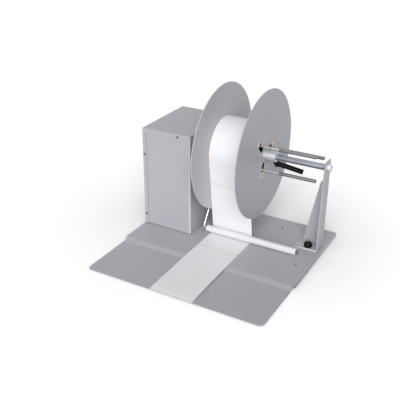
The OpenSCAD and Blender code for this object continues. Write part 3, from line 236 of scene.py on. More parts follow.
drift_group, drift_in, drift_out = new_group(
    "slow_drift", {"Scale": 9.0, "Darkest": 0.96, "Lightest": 1.03}, ["Tone"]
)
coords = drift_group.nodes.new("ShaderNodeTexCoord").outputs["Object"]
drift = noise_in(drift_group, coords, drift_in.outputs["Scale"], detail=4.0)
tone = ranged(drift_group, drift, drift_in.outputs["Darkest"], drift_in.outputs["Lightest"])
drift_group.links.new(tone, drift_out.inputs["Tone"])

turned_group, turned_in, turned_out = new_group(
    "lathe_rings", {"Scale": 2200.0, "Rough Low": 0.25, "Rough High": 0.4}, ["Height", "Roughness"]
)
coords = turned_group.nodes.new("ShaderNodeTexCoord").outputs["Object"]
along = turned_group.nodes.new("ShaderNodeMapping")
along.inputs["Scale"].default_value = (1.0, RING_SPREAD, RING_SPREAD)
turned_group.links.new(coords, along.inputs["Vector"])
rings = noise_in(turned_group, along.outputs["Vector"], turned_in.outputs["Scale"], detail=2.0)
turned_group.links.new(rings, turned_out.inputs["Height"])
rough = ranged(turned_group, rings, turned_in.outputs["Rough Low"], turned_in.outputs["Rough High"])
turned_group.links.new(rough, turned_out.inputs["Roughness"])
print("node groups:", [g.name for g in bpy.data.node_groups])

# %% [markdown]
# ## Finishes
# A helper starts each finish: a Principled shader, a base colour that a group's tone drifts, and a
# bump from a group's height. What is special to one finish is then added to it.

# %% A finish from the groups
BUMP_DEPTH = 0.05 * MM


def finish(name, color, metallic=0.0, group=grain_group, scale=900.0, rough=(0.4, 0.5), bump=0.05,
           drift=(0.96, 1.03), drift_scale=9.0, specular=0.5):
    """A material with grain or lathe rings, drifting tone and a plain Principled shader."""
    made = bpy.data.materials.new(name)
    made.use_nodes = True
    tree = made.node_tree
    shader = tree.nodes["Principled BSDF"]
    shader.inputs["Metallic"].default_value = metallic
    shader.inputs["Specular IOR Level"].default_value = specular
    surface = tree.nodes.new("ShaderNodeGroup")
    surface.node_tree = group
    surface.inputs["Scale"].default_value = scale
    surface.inputs["Rough Low"].default_value, surface.inputs["Rough High"].default_value = rough
    tree.links.new(surface.outputs["Roughness"], shader.inputs["Roughness"])
    lifted = tree.nodes.new("ShaderNodeBump")
    lifted.inputs["Strength"].default_value = bump
    lifted.inputs["Distance"].default_value = BUMP_DEPTH
    tree.links.new(surface.outputs["Height"], lifted.inputs["Height"])
    tree.links.new(lifted.outputs["Normal"], shader.inputs["Normal"])
    slow = tree.nodes.new("ShaderNodeGroup")
    slow.node_tree = drift_group
    slow.inputs["Scale"].default_value = drift_scale
    slow.inputs["Darkest"].default_value, slow.inputs["Lightest"].default_value = drift
    toned = tree.nodes.new("ShaderNodeMix")
    toned.data_type = "RGBA"
    toned.blend_type = "MULTIPLY"
    toned.inputs["Factor"].default_value = 1.0
    toned.inputs["A"].default_value = (*color, 1)
    tree.links.new(slow.outputs["Tone"], toned.inputs["B"])
    tree.links.new(toned.outputs["Result"], shader.inputs["Base Color"])
    return made


silver_paint = finish("silver_paint", (0.43, 0.432, 0.463), scale=1400, rough=(0.38, 0.48), bump=0.2)
# A lighter copy of silver_paint: painted bounce light for the inner disc, which has the same coat as the
# outer one.
painted_bounce_light = finish("painted_bounce_light", (0.52, 0.522, 0.552), scale=1400, rough=(0.38, 0.48), bump=0.2)
# A lighter coat used only as a painted highlight: on the housing's bend, the plate's cut edges and the
# front of the post's foot.
painted_highlight = finish("painted_highlight", (0.62, 0.622, 0.655), scale=1400, rough=(0.32, 0.4), bump=0.1)
# Dark paint as painted shade in the crevice along the housing strips' cut edges and the mitre.
crevice_shade = finish("crevice_shade", (0.2, 0.2, 0.21), scale=2500, rough=(0.5, 0.65), bump=0.3)
# Near-black paint as painted shade: a shadow line round the housing's foot and the inside of the bench
# holes.
painted_shade = finish("painted_shade", (0.03, 0.03, 0.033), scale=2500, rough=(0.6, 0.75), bump=0.3)
mark_paint = finish("mark_paint", (0.78, 0.78, 0.76), scale=1500, rough=(0.45, 0.6), bump=0.1)
zinc_steel = finish("zinc_steel", (0.33, 0.345, 0.385), 1.0, turned_group, 2500, (0.34, 0.46), 0.03,
                    drift=(0.75, 1.15), drift_scale=90)
screw_steel = finish("screw_steel", (0.20, 0.20, 0.215), 1.0, scale=2000, rough=(0.4, 0.5), bump=0.1)
bright_rod = finish("bright_rod", (0.74, 0.75, 0.77), 1.0, scale=500, rough=(0.22, 0.3), bump=0.03)
turned_aluminium = finish("turned_aluminium", (0.62, 0.63, 0.645), 1.0, turned_group, 2400, (0.58, 0.68),
                          0.03)
black_plastic = finish("black_plastic", (0.004, 0.004, 0.006), scale=1800, rough=(0.34, 0.44), bump=0.2,
                       specular=0.12)
black_gloss = finish("black_gloss", (0.004, 0.004, 0.005), scale=300, rough=(0.24, 0.3), bump=0.02,
                     specular=0.2)
roller_plastic = finish("roller_plastic", (0.73, 0.74, 0.76), scale=700, rough=(0.35, 0.45), bump=0.05)
rubber = finish("rubber", (0.02, 0.02, 0.02), scale=1200, rough=(0.7, 0.85), bump=0.3)
motor_paint = finish("motor_paint", (0.05, 0.055, 0.06), scale=900, rough=(0.35, 0.5), bump=0.1)
board_green = finish("board_green", (0.015, 0.13, 0.05), scale=500, rough=(0.25, 0.4), bump=0.05)
bronze = finish("bronze", (0.62, 0.44, 0.2), 1.0, turned_group, 2200, (0.3, 0.45), 0.05)
core_board = finish("core_board", (0.10, 0.075, 0.055), scale=600, rough=(0.75, 0.9), bump=0.4,
                    drift_scale=40)
label_paper = finish("label_paper", (0.83, 0.83, 0.845), scale=1500, rough=(0.45, 0.6), bump=0.05,
                     drift=(0.985, 1.01))
liner_paper = finish("liner_paper", (0.72, 0.70, 0.615), scale=1500, rough=(0.35, 0.5), bump=0.05)
wound_edge = finish("wound_edge", (0.95, 0.84, 0.60), scale=2500, rough=(0.6, 0.75), bump=0.3)
rod_steel = finish("rod_steel", (0.24, 0.24, 0.25), 1.0, turned_group, 3000, (0.28, 0.4), 0.03)
print("finishes ready, from", silver_paint.name, "to", rod_steel.name)

# %% The rods' bright part
ROD_STEP_X = 99 * MM
STEP_BLEND = 1 * MM
BRIGHT_TO_DULL = 2.8

tree = rod_steel.node_tree
rod_place = tree.nodes.new("ShaderNodeSeparateXYZ")
tree.links.new(tree.nodes.new("ShaderNodeTexCoord").outputs["Object"], rod_place.inputs[0])
thin_part = tree.nodes.new("ShaderNodeMapRange")
thin_part.inputs["From Min"].default_value = ROD_STEP_X + STEP_BLEND
thin_part.inputs["From Max"].default_value = ROD_STEP_X
thin_part.inputs["To Min"].default_value = 1.0
thin_part.inputs["To Max"].default_value = BRIGHT_TO_DULL
tree.links.new(rod_place.outputs["X"], thin_part.inputs["Value"])
rod_tone = next(n for n in tree.nodes if n.type == "MIX")
brighter = tree.nodes.new("ShaderNodeVectorMath")
brighter.operation = "SCALE"
tree.links.new(rod_tone.outputs["Result"], brighter.inputs[0])
tree.links.new(thin_part.outputs["Result"], brighter.inputs["Scale"])
tree.links.new(brighter.outputs[0], tree.nodes["Principled BSDF"].inputs["Base Color"])
print("rods are bright up to x =", ROD_STEP_X)

# %% Which finish each slot gets
finish_of_slot = {
    "painted_sheet": silver_paint, "rubber": rubber, "zinc_steel": zinc_steel, "rod_steel": rod_steel,
    "bright_rod": bright_rod, "turned_aluminium": turned_aluminium, "black_plastic": black_plastic,
    "motor_paint": motor_paint, "roller_plastic": roller_plastic, "circuit_board": board_green,
    "brass": bronze, "core_board": core_board, "label_paper": label_paper,
}
print("slots with a finish:", len(finish_of_slot))

# %% [markdown]
# ## Soft edges on the real parts
# Bent sheet and turned parts never have razor edges: a narrow rounded rim catches the light. A copy of
# a CAD part is merged into whole faces, its sharp edges are bevelled, and the copy stands for the part.

# %% Eased copies
SHARP_ANGLE = math.radians(40)
FLAT_ANGLE = math.radians(0.4)
MERGE_DISTANCE = 2e-6
SHORTEST_EDGE = 1e-6
SHARP_FROM, ANY_ANGLE = 32, 181


def new_piece(name, shape, body, material):
    """Turns a bmesh into an object that rides a body, with one finish and clean smooth shading."""
    data = bpy.data.meshes.new(name)
    shape.to_mesh(data)
    shape.free()
    data.materials.append(material)
    data.shade_smooth()
    data.set_sharp_from_angle(angle=SHARP_ANGLE)
    piece = bpy.data.objects.new(name, data)
    scene.collection.objects.link(piece)
    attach(piece, body)
    return piece


def merged_copy(node):
    """A CAD part's mesh with its loose triangles merged into whole flat faces."""
    shape = bmesh.new()
    shape.from_mesh(nodes[node].data)
    bmesh.ops.remove_doubles(shape, verts=shape.verts, dist=MERGE_DISTANCE)
    bmesh.ops.dissolve_limit(shape, angle_limit=FLAT_ANGLE, verts=shape.verts, edges=shape.edges)
    return shape


def round_edges(shape, edges, width, segments):
    """Rounds edges by a width in metres."""
    bmesh.ops.bevel(shape, geom=edges, offset=width, offset_type="OFFSET", segments=segments, profile=0.5,
                    affect="EDGES", material=-1, clamp_overlap=True)


def edges_between(shape, low, high):
    """Edges whose two faces meet at an angle between two limits in degrees."""
    return [e for e in shape.edges if e.is_manifold and low < math.degrees(e.calc_face_angle()) < high]


def eased_piece(node, shape, width, material=None):
    """Rounds a merged copy's sharp edges and lets it stand for its CAD part."""
    round_edges(shape, edges_between(shape, SHARP_FROM, ANY_ANGLE), width, 2)
    bmesh.ops.dissolve_degenerate(shape, edges=shape.edges, dist=SHORTEST_EDGE)
    slot = slot_of_node[node]
    piece = new_piece(node + "_eased", shape, body_of_node[node], material or finish_of_slot[slot])
    flat = piece.modifiers.new("flat_faces", "WEIGHTED_NORMAL")
    flat.keep_sharp = True
    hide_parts(node)
    return piece


print("edges sharper than", SHARP_FROM, "degrees will be rounded")

# %% Ease most of the parts
WIDE_EDGE = 0.5 * MM
SHEET_EDGE = 0.4 * MM
FINE_EDGE = 0.2 * MM
EDGE_WIDTHS = {
    WIDE_EDGE: ["support_post", "guide_roller", "clamp_lever"],
    SHEET_EDGE: ["outer_flange", "outer_hub", "inner_hub", "post_bush",
                 "speed_knob", "speed_dial_base", "power_inlet", "power_switch", "direction_switch",
                 "power_rocker", "direction_rocker", "spindle_shaft", "rubber_feet"],
    FINE_EDGE: ["bearing_housing", "bearing_screws", "roller_plugs",
                "core_rod_1", "core_rod_2", "core_rod_3", "rod_nut_1", "rod_nut_2", "rod_nut_3",
                "dancer_arm", "dancer_bush", "arm_collar", "clamp_stud", "set_screws", "label_core",
                "inlet_pins", "base_screws", "foot_nut"],
}
for width, group in EDGE_WIDTHS.items():
    made = [eased_piece(node, merged_copy(node), width) for node in group]
    faces = sum(len(piece.data.polygons) for piece in made)
    print(f"{width / MM:.1f} mm edges on {len(made)} parts, {faces} faces")

for node in ("cover_screws", "roller_screw"):
    eased_piece(node, merged_copy(node), FINE_EDGE, material=screw_steel)
# The inner disc gets the lighter copy of the coat as painted bounce light from the roll beside it.
eased_piece("inner_flange", merged_copy("inner_flange"), SHEET_EDGE, material=painted_bounce_light)
print("darker screws: cover_screws, roller_screw; lighter coat: inner_flange")

# %% [markdown]
# ## The housing's edges
# The housing is two folded sheets. Along the strips that fold over the front and at the mitred corner,
# their cut edges get a dark paint as painted shade for the crevice there. The foot's outside is filed back
# by a hair, and that band gets a near-black paint as a painted shadow line. The bend beside the discs gets
# a lighter paint as a painted highlight. Faces are told apart by where they point.

# %% Housing
FOOT_HEIGHT = 1.4 * MM
FOOT_STEP = 0.2 * MM
FOOT_INSET = 0.8 * MM
FOOT_MARGIN = 0.1 * MM
STRIP_DEPTH = 1.8 * MM
UPRIGHT = 0.1
NOT_TO_FRONT = -0.3
RIGHT_OR_DOWN = 0.9
BEND_LEAN = 0.17
COAT, FOOT, CREVICE_SHADE, BEND = range(4)


def box_of(node):
    """The low and the high corner of a CAD part's box."""
    return tuple(Vector(corner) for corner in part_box(node))


def cut_across(shape, point, normal, dist=0.0):
    """Cuts the faces of a shape along a plane and takes nothing away."""
    bmesh.ops.bisect_plane(shape, geom=shape.verts[:] + shape.edges[:] + shape.faces[:], dist=dist,
                           plane_co=point, plane_no=normal)


front_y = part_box("housing_cover")[0][1]
housing_middle = (box_of("housing_cover")[0] + box_of("housing_chassis")[1]) / 2


def file_back_foot(shape):
    """Sets the outside of a folded sheet's foot back by a hair and gives the height of its lowest point."""
    foot_z = min(v.co.z for v in shape.verts)
    for height in (FOOT_HEIGHT, FOOT_HEIGHT - FOOT_STEP):
        cut_across(shape, (0, 0, foot_z + height), (0, 0, 1))
    shape.normal_update()
    inward = {}
    for vert in shape.verts:
        if vert.co.z < foot_z + FOOT_HEIGHT - FOOT_STEP / 2:
            out = vert.co - housing_middle
            walls = [f.normal for f in vert.link_faces
                     if abs(f.normal.z) < UPRIGHT and f.normal.dot(out) > 0]
            if walls:
                inward[vert] = -FOOT_INSET * sum(walls, Vector()).normalized()
    for vert, step in inward.items():
        vert.co += step
    return foot_z


for node in ("housing_chassis", "housing_cover"):
    housing = merged_copy(node)
    foot_top = file_back_foot(housing) + FOOT_HEIGHT + FOOT_MARGIN
    piece = eased_piece(node, housing, FINE_EDGE)
    for other_finish in (painted_shade, crevice_shade, painted_highlight):
        piece.data.materials.append(other_finish)
    counts = dict.fromkeys((COAT, FOOT, CREVICE_SHADE, BEND), 0)
    for face in piece.data.polygons:
        points, at = face.normal, face.center
        in_strip = at.y < front_y + STRIP_DEPTH
        # Strip edges facing right or down, the mitre's among them: painted crevice shade.
        on_cut = in_strip and points.y > NOT_TO_FRONT and points.x - points.z > RIGHT_OR_DOWN
        # Faces of the bend between front and right: painted highlight.
        on_bend = points.x > BEND_LEAN and points.y < -BEND_LEAN and abs(points.z) < UPRIGHT
        # The filed-back foot band: painted shadow line.
        if at.z < foot_top:
            face.material_index = FOOT
        elif node == "housing_cover" and on_cut:
            face.material_index = CREVICE_SHADE
        elif node == "housing_chassis" and on_bend:
            face.material_index = BEND
        counts[face.material_index] += 1
    print(node, "faces with coat, foot, raw edge and bend:", list(counts.values()))

# %% [markdown]
# ## The thumb knob
# The knob on the post's foot is a glossy moulded button with a shallow dimple. A cylinder with a generously
# rounded top, an inset pushed down for the dimple, and a plain screw below make it.

# %% Thumb knob
KNOB_HEIGHT = 11 * MM
KNOB_TOP_ROUND = 4.8 * MM
KNOB_FOOT_ROUND = 1 * MM
RIM_FROM = 60
DIMPLE_RIM = 1.2 * MM
DIMPLE_DEPTH = 0.7 * MM
SCREW_RADIUS = 2.5 * MM
SCREW_LAP = 1 * MM

knob_low, knob_high = box_of("foot_thumbscrew")
knob_radius = (knob_high.x - knob_low.x) / 2
knob = bmesh.new()
bmesh.ops.create_cone(knob, cap_ends=True, segments=64, radius1=knob_radius, radius2=knob_radius,
                      depth=KNOB_HEIGHT)
foot_rim = [e for e in edges_between(knob, RIM_FROM, ANY_ANGLE) if e.verts[0].co.z < 0]
round_edges(knob, foot_rim, KNOB_FOOT_ROUND, 3)
top_rim = [e for e in edges_between(knob, RIM_FROM, ANY_ANGLE) if e.verts[0].co.z > 0]
round_edges(knob, top_rim, KNOB_TOP_ROUND, 8)
top_face = max(knob.faces, key=lambda f: f.calc_center_median().z)
bmesh.ops.inset_region(knob, faces=[top_face], thickness=DIMPLE_RIM, depth=0)
top_face = min((f for f in knob.faces if f.normal.z > 0.99), key=lambda f: f.calc_center_median().xy.length)
bmesh.ops.translate(knob, vec=(0, 0, -DIMPLE_DEPTH), verts=top_face.verts)
knob_middle = (knob_low + knob_high) / 2
knob_middle.z = knob_high.z - KNOB_HEIGHT / 2
bmesh.ops.translate(knob, vec=knob_middle, verts=knob.verts)
stem_top = knob_high.z - KNOB_HEIGHT + SCREW_LAP
stem_middle = (knob_middle.x, knob_middle.y, (stem_top + knob_low.z) / 2)
bmesh.ops.create_cone(knob, cap_ends=True, segments=32, radius1=SCREW_RADIUS, radius2=SCREW_RADIUS,
                      depth=stem_top - knob_low.z, matrix=Matrix.Translation(stem_middle))
thumb_knob = new_piece("thumb_knob", knob, body_of_node["foot_thumbscrew"], black_gloss)
thumb_knob.modifiers.new("flat_faces", "WEIGHTED_NORMAL").keep_sharp = True
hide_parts("foot_thumbscrew")
print("knob faces:", len(thumb_knob.data.polygons))

# %% [markdown]
# ## The base plate's bends
# The base is one sheet with a shallow step across it. A press brake leaves its four bend lines as wide,
# soft curves rather than creases, so they get a much wider bevel than the sheet's cut edges. At its ends
# the step is cut back to the apron's width, so a rubber foot shows under the raised plate's corner. The cut
# edges get a lighter paint as a painted highlight, and the walls of the bench holes a near-black paint as
# painted shade.

# %% Base plate
BEND_RUN = 3.3 * MM
BEND_FROM = 8
SHORTEST_BEND = 50 * MM
APRON_RUN = 139 * MM
STEP_RUN = 15 * MM
APRON_INSET = 4 * MM
NOTCH_RUN = 0.8 * MM
RIM_WIDTH = 0.6 * MM


def cut_back_step(shape, half_width, step_top):
    """Moves the sloped step's two ends in to the apron's width, up to the raised plate's front corners."""
    for y in (step_top, step_top - NOTCH_RUN):
        cut_across(shape, (0, y, 0), (0, 1, 0), SHORTEST_EDGE)
    for vert in shape.verts:
        along = step_top - vert.co.y
        spare = APRON_INSET * (1 - along / STEP_RUN)
        on_rim = abs(vert.co.x) > half_width - APRON_INSET + spare - RIM_WIDTH
        if on_rim and NOTCH_RUN / 2 < along < STEP_RUN:
            vert.co.x -= math.copysign(spare, vert.co.x)


base_low, base_high = box_of("base_plate")
base_shape = merged_copy("base_plate")
bend_lines = [e for e in edges_between(base_shape, BEND_FROM, SHARP_FROM)
              if abs(e.verts[0].co.x - e.verts[1].co.x) > SHORTEST_BEND]
round_edges(base_shape, bend_lines, BEND_RUN, 5)
base_piece = eased_piece("base_plate", base_shape, SHEET_EDGE)
base_shape = bmesh.new()
base_shape.from_mesh(base_piece.data)
cut_back_step(base_shape, base_high.x, base_low.y + APRON_RUN + STEP_RUN)
base_shape.to_mesh(base_piece.data)
base_shape.free()
base_piece.data.set_sharp_from_angle(angle=SHARP_ANGLE)
print("bend lines softened:", len(bend_lines), "faces", len(base_piece.data.polygons))

# %% Cut edges of the plate and of the post's foot
POST_FOOT = 4 * MM
STEEP = 0.5
# Material indices: painted highlight on the plate's cut edges, painted shade on the bench holes' walls.
HIGHLIGHT, IN_HOLE = 1, 2

bench_holes = [m for m in frame["record"]["mounts"] if m["name"].startswith("bench_hole")]
base_piece.data.materials.append(painted_highlight)
base_piece.data.materials.append(painted_shade)
for face in base_piece.data.polygons:
    if abs(face.normal.z) < STEEP:
        in_hole = any((face.center.xy - Vector(m["pos_m"]).xy).length < 2 * m["dims"]["r_mm"] * MM
                      for m in bench_holes)
        face.material_index = IN_HOLE if in_hole else HIGHLIGHT

# The front faces of the post's foot get the same painted highlight.
post_piece = bpy.data.objects["support_post_eased"]
post_piece.data.materials.append(painted_highlight)
post_foot_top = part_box("support_post")[0][2] + POST_FOOT
for face in post_piece.data.polygons:
    if face.center.z < post_foot_top and face.normal.y < -STEEP:
        face.material_index = HIGHLIGHT
print("bench holes with raw walls:", [m["name"] for m in bench_holes])

# %% [markdown]
# ## The label web
# Label stock is a yellowish backing with die-cut white labels on it, a little narrower than the backing
# and a few millimetres apart. The stock curls up a little at the base's front edge, spans to the top of the
# step, lies on the plate, turns under the guide roller and rises to the roll. Its route is a chain of
# straight and round legs, seen from the side. A flat strip is cut across at short steps and then laid along
# that route, as the real one is threaded by hand.

# %% The route, seen from the side


def middle(node):
    """The middle of a CAD part's box."""
    low, high = box_of(node)
    return (low + high) / 2


STEP_RISE = 4 * MM
STEP_BEND_RADIUS = 25 * MM
FRONT_GAP = 0.05 * MM
CURL_RADIUS = 130 * MM
CURL_START = math.radians(10)
PLATE_TOP = 2 * MM
TOUCH_GAP = 0.6 * MM
ROUNDS = 8

web_low, web_high = box_of("label_web")
roller_middle, roll_middle = middle("guide_roller"), middle("label_roll")
turn_radius = roller_middle.z - PLATE_TOP - STEP_RISE
roll_radius = (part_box("label_roll")[1][2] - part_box("label_roll")[0][2]) / 2
touch_radius = roll_radius + TOUCH_GAP

to_roll = Vector((roll_middle.y - roller_middle.y, roll_middle.z - roller_middle.z))
rise = math.sqrt(to_roll.length_squared - (turn_radius + touch_radius) ** 2)
turn = math.atan2(to_roll.y, to_roll.x) + math.asin((turn_radius + touch_radius) / to_roll.length)

span_run = APRON_RUN + STEP_RUN - FRONT_GAP
# The span's slope depends on how far the curl reaches and the curl on the slope, so a few rounds settle
# both.
span_angle = 0
for _ in range(ROUNDS):
    curl_run = CURL_RADIUS * (math.sin(CURL_START) - math.sin(span_angle))
    curl_rise = CURL_RADIUS * (math.cos(span_angle) - math.cos(CURL_START))
    span_angle = math.atan2(STEP_RISE - curl_rise, span_run - curl_run)
span = math.hypot(span_run - curl_run, STEP_RISE - curl_rise)
bend_share = STEP_BEND_RADIUS * math.tan(span_angle / 2)
flat_run = roller_middle.y - web_low.y - FRONT_GAP - span_run
web_route = [
    (CURL_RADIUS * (CURL_START - span_angle), span_angle - CURL_START),
    (span - bend_share, 0), (STEP_BEND_RADIUS * span_angle, -span_angle),
    (flat_run - bend_share, 0), (turn_radius * turn, turn), (rise, 0),
]
web_length = sum(length for length, angle in web_route)


def point_on(route, start, heading, distance):
    """Place and heading after a distance along a chain of legs of a length and a turning angle."""
    at = Vector(start)
    for length, angle in route:
        part = min(distance, length)
        swung = angle * part / length
        chord = part if angle == 0 else 2 * length / angle * math.sin(swung / 2)
        at += chord * Vector((math.cos(heading + swung / 2), math.sin(heading + swung / 2)))
        heading += swung
        distance -= part
        if distance <= 0:
            break
    return at, heading


print(f"web {web_length / MM:.0f} mm long, turned by {math.degrees(turn):.1f} degrees under the roller")

# %% Laying strips
STRIP_STEP = 2 * MM


def flat_strip(width, start, end, corner=0.0):
    """A flat strip between two distances, with square or round corners, cut across at short steps."""
    shape = bmesh.new()
    bmesh.ops.create_grid(shape, x_segments=1, y_segments=1, size=0.5)
    bmesh.ops.scale(shape, vec=(width, end - start, 1), verts=shape.verts)
    bmesh.ops.translate(shape, vec=(0, (start + end) / 2, 0), verts=shape.verts)
    if corner:
        bmesh.ops.bevel(shape, geom=shape.verts[:], offset=corner, offset_type="OFFSET", segments=4,
                        profile=0.5, affect="VERTICES", material=-1)
    for i in range(1, int((end - start) / STRIP_STEP)):
        cut_across(shape, (0, start + i * STRIP_STEP, 0), (0, 1, 0))
    return shape


def lay_strip(shape, route, start, heading, middle_x, lift):
    """Lays a flat strip along a route, lifted off it to the left of the heading."""
    for vert in shape.verts:
        at, toward = point_on(route, start, heading, vert.co.y)
        at += lift * Vector((-math.sin(toward), math.cos(toward)))
        vert.co = (middle_x + vert.co.x, at.x, at.y)


print("strips are cut across every", STRIP_STEP, "m")

# %% Backing and labels
LINER_WIDTH = web_high.x - web_low.x
LABEL_WIDTH = 102.6 * MM
LABEL_LENGTH = 201.5 * MM
LABEL_GAP = 2.6 * MM
FIRST_MARGIN = 3.3 * MM
LINER_LIFT = 0.04 * MM
LABEL_LIFT = 0.20 * MM
PAPER_T = 0.08 * MM
LABEL_CORNER = 2.5 * MM

web_start = (web_low.y + FRONT_GAP, PLATE_TOP)
web_middle_x = (web_low.x + web_high.x) / 2


def paper_piece(name, shape, body, material):
    """A thin paper piece with its thickness grown from the laid side."""
    bmesh.ops.recalc_face_normals(shape, faces=shape.faces)
    piece = new_piece(name, shape, body, material)
    thick = piece.modifiers.new("paper_thickness", "SOLIDIFY")
    thick.thickness = PAPER_T
    thick.offset = 1
    piece.modifiers.new("flat_faces", "WEIGHTED_NORMAL")
    return piece


liner_shape = flat_strip(LINER_WIDTH, 0, web_length)
lay_strip(liner_shape, web_route, web_start, CURL_START, web_middle_x, LINER_LIFT)
web_liner = paper_piece("web_liner", liner_shape, body_of_node["label_web"], liner_paper)
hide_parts("label_web")

label_spans = [(FIRST_MARGIN, FIRST_MARGIN + LABEL_LENGTH)]
while label_spans[-1][1] < web_length:
    label_from = label_spans[-1][1] + LABEL_GAP
    label_spans.append((label_from, min(label_from + LABEL_LENGTH, web_length)))
web_labels = []
for label_from, label_to in label_spans:
    whole = label_to < web_length
    label_shape = flat_strip(LABEL_WIDTH, label_from, label_to, LABEL_CORNER if whole else 0.0)
    lay_strip(label_shape, web_route, web_start, CURL_START, web_middle_x, LABEL_LIFT)
    name = f"web_label_{len(web_labels) + 1}"
    web_labels.append(paper_piece(name, label_shape, body_of_node["label_web"], label_paper))
print("labels on the web:", len(web_labels))

# %% [markdown]
# ## The wound roll
# The roll is the same stock wound on its cardboard core. Its body is a spun ring whose side faces step in
# and out by a hair where the turns have crept. The outermost labels are separate curved strips, so the
# backing shows between them and as a thin yellow line along the rims. They lie a hair deeper than the
# web that runs on to them, so that the roll can turn under it.

# %% The roll's body
CREEP_MM = [0.0, 0.25, 0.1, 0.3, 0.05, 0.2, 0.0, 0.15, 0.3, 0.1, 0.2, 0.0]
OUTER_WRAP = 0.42 * MM
RIM_MARGIN = 0.6 * MM
CORE_GAP = 0.1 * MM
SPIN_STEPS = 160
WELD_DISTANCE = 1e-7

roll_low, roll_high = box_of("label_roll")
core_radius = (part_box("label_core")[1][2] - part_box("label_core")[0][2]) / 2 + CORE_GAP
liner_radius = roll_radius + OUTER_WRAP


def wound_ring(inner, outer, left, right, creep):
    """A spun ring along X whose side faces are stepped from the bore to the rim."""
    shape = bmesh.new()
    radii = [inner + (outer - inner) * i / (len(creep) - 1) for i in range(len(creep))]
    side = [(left + d * MM, r) for d, r in zip(creep, radii)]
    side += [(left + RIM_MARGIN, outer), (right - RIM_MARGIN, outer)]
    side += [(right - d * MM, r) for d, r in reversed(list(zip(creep, radii)))]
    ring = [shape.verts.new((x, 0, r)) for x, r in side]
    for a, b in zip(ring, ring[1:] + ring[:1]):
        shape.edges.new((a, b))
    bmesh.ops.spin(shape, geom=shape.verts[:] + shape.edges[:], cent=(0, 0, 0), axis=(1, 0, 0),
                   angle=2 * math.pi, steps=SPIN_STEPS, use_merge=True)
    bmesh.ops.remove_doubles(shape, verts=shape.verts, dist=WELD_DISTANCE)
    bmesh.ops.recalc_face_normals(shape, faces=shape.faces)
    bmesh.ops.translate(shape, vec=(0, roll_middle.y, roll_middle.z), verts=shape.verts)
    return shape


roll_shape = wound_ring(core_radius, liner_radius, roll_low.x, roll_high.x, CREEP_MM)
label_roll = new_piece("wound_stock", roll_shape, body_of_node["label_roll"], wound_edge)
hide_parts("label_roll")
print("roll faces:", len(label_roll.data.polygons))

# %% Rings on the roll's sides, backing on its rim
RING_PITCH = 1.2 * MM
PEACH = (0.90, 0.66, 0.42, 1)
MIDDLE_BAND = 10 * MM

tree = wound_edge.node_tree
round_axis = tree.nodes.new("ShaderNodeMapping")
round_axis.inputs["Location"].default_value = (0, -roll_middle.y, -roll_middle.z)
round_axis.inputs["Scale"].default_value = (0, 1, 1)
tree.links.new(tree.nodes.new("ShaderNodeTexCoord").outputs["Object"], round_axis.inputs["Vector"])
ring_radius = tree.nodes.new("ShaderNodeVectorMath")
ring_radius.operation = "LENGTH"
tree.links.new(round_axis.outputs["Vector"], ring_radius.inputs[0])
rings = tree.nodes.new("ShaderNodeTexNoise")
rings.noise_dimensions = "1D"
rings.inputs["Scale"].default_value = 1 / RING_PITCH
tree.links.new(ring_radius.outputs["Value"], rings.inputs["W"])
ring_tone = next(n for n in tree.nodes if n.type == "MIX")
two_tones = tree.nodes.new("ShaderNodeMix")
two_tones.data_type = "RGBA"
two_tones.inputs["B"].default_value = PEACH
tree.links.new(rings.outputs["Fac"], two_tones.inputs["Factor"])
tree.links.new(ring_tone.outputs["Result"], two_tones.inputs["A"])
tree.links.new(two_tones.outputs["Result"], tree.nodes["Principled BSDF"].inputs["Base Color"])

label_roll.data.materials.append(liner_paper)
rim_faces = 0
for face in label_roll.data.polygons:
    from_axis = (face.center - roll_middle).yz.length
    if from_axis > roll_radius and abs(face.center.x - roll_middle.x) < MIDDLE_BAND:
        face.material_index, rim_faces = 1, rim_faces + 1
print("faces of the rim with backing:", rim_faces)

# %% The roll's outer labels
ROLL_LABEL_LIFT = 0.03 * MM

tangent_heading = point_on(web_route, web_start, CURL_START, web_length)[1]
outward = Vector((-math.sin(tangent_heading), math.cos(tangent_heading)))
wrap_start = Vector((roll_middle.y, roll_middle.z)) + liner_radius * outward
wrap_length = 2 * math.pi * liner_radius
wrap_route = [(wrap_length, -2 * math.pi)]

wrap_from = 0
wrap_to = LABEL_LENGTH - (web_length - label_spans[-1][0])
roll_labels = []
while wrap_from < wrap_length - STRIP_STEP:
    shape = flat_strip(LABEL_WIDTH - 2 * RIM_MARGIN, wrap_from, wrap_to)
    lay_strip(shape, wrap_route, wrap_start, tangent_heading, web_middle_x, ROLL_LABEL_LIFT)
    roll_labels.append(paper_piece(f"roll_label_{len(roll_labels) + 1}", shape,
                                   body_of_node["label_roll"], label_paper))
    wrap_from = wrap_to + LABEL_GAP
    wrap_to = min(wrap_from + LABEL_LENGTH, wrap_length)
print("labels round the roll:", len(roll_labels))

# %% [markdown]
# ## Marks on the rear controls
# The rear wall carries the controls, with plain printed marks: a ring of ticks round the speed knob, a bar
# and a ring on the power rocker, two arrow heads on the direction rocker. Each mark starts as a filled
# circle of few or many corners that is scaled, thickened by a hair and laid on its surface. The groove on
# the knob is filled with the same white paint.

# %% A printed mark
MARK_T = 0.12 * MM
MARK_SUNK = 0.02 * MM


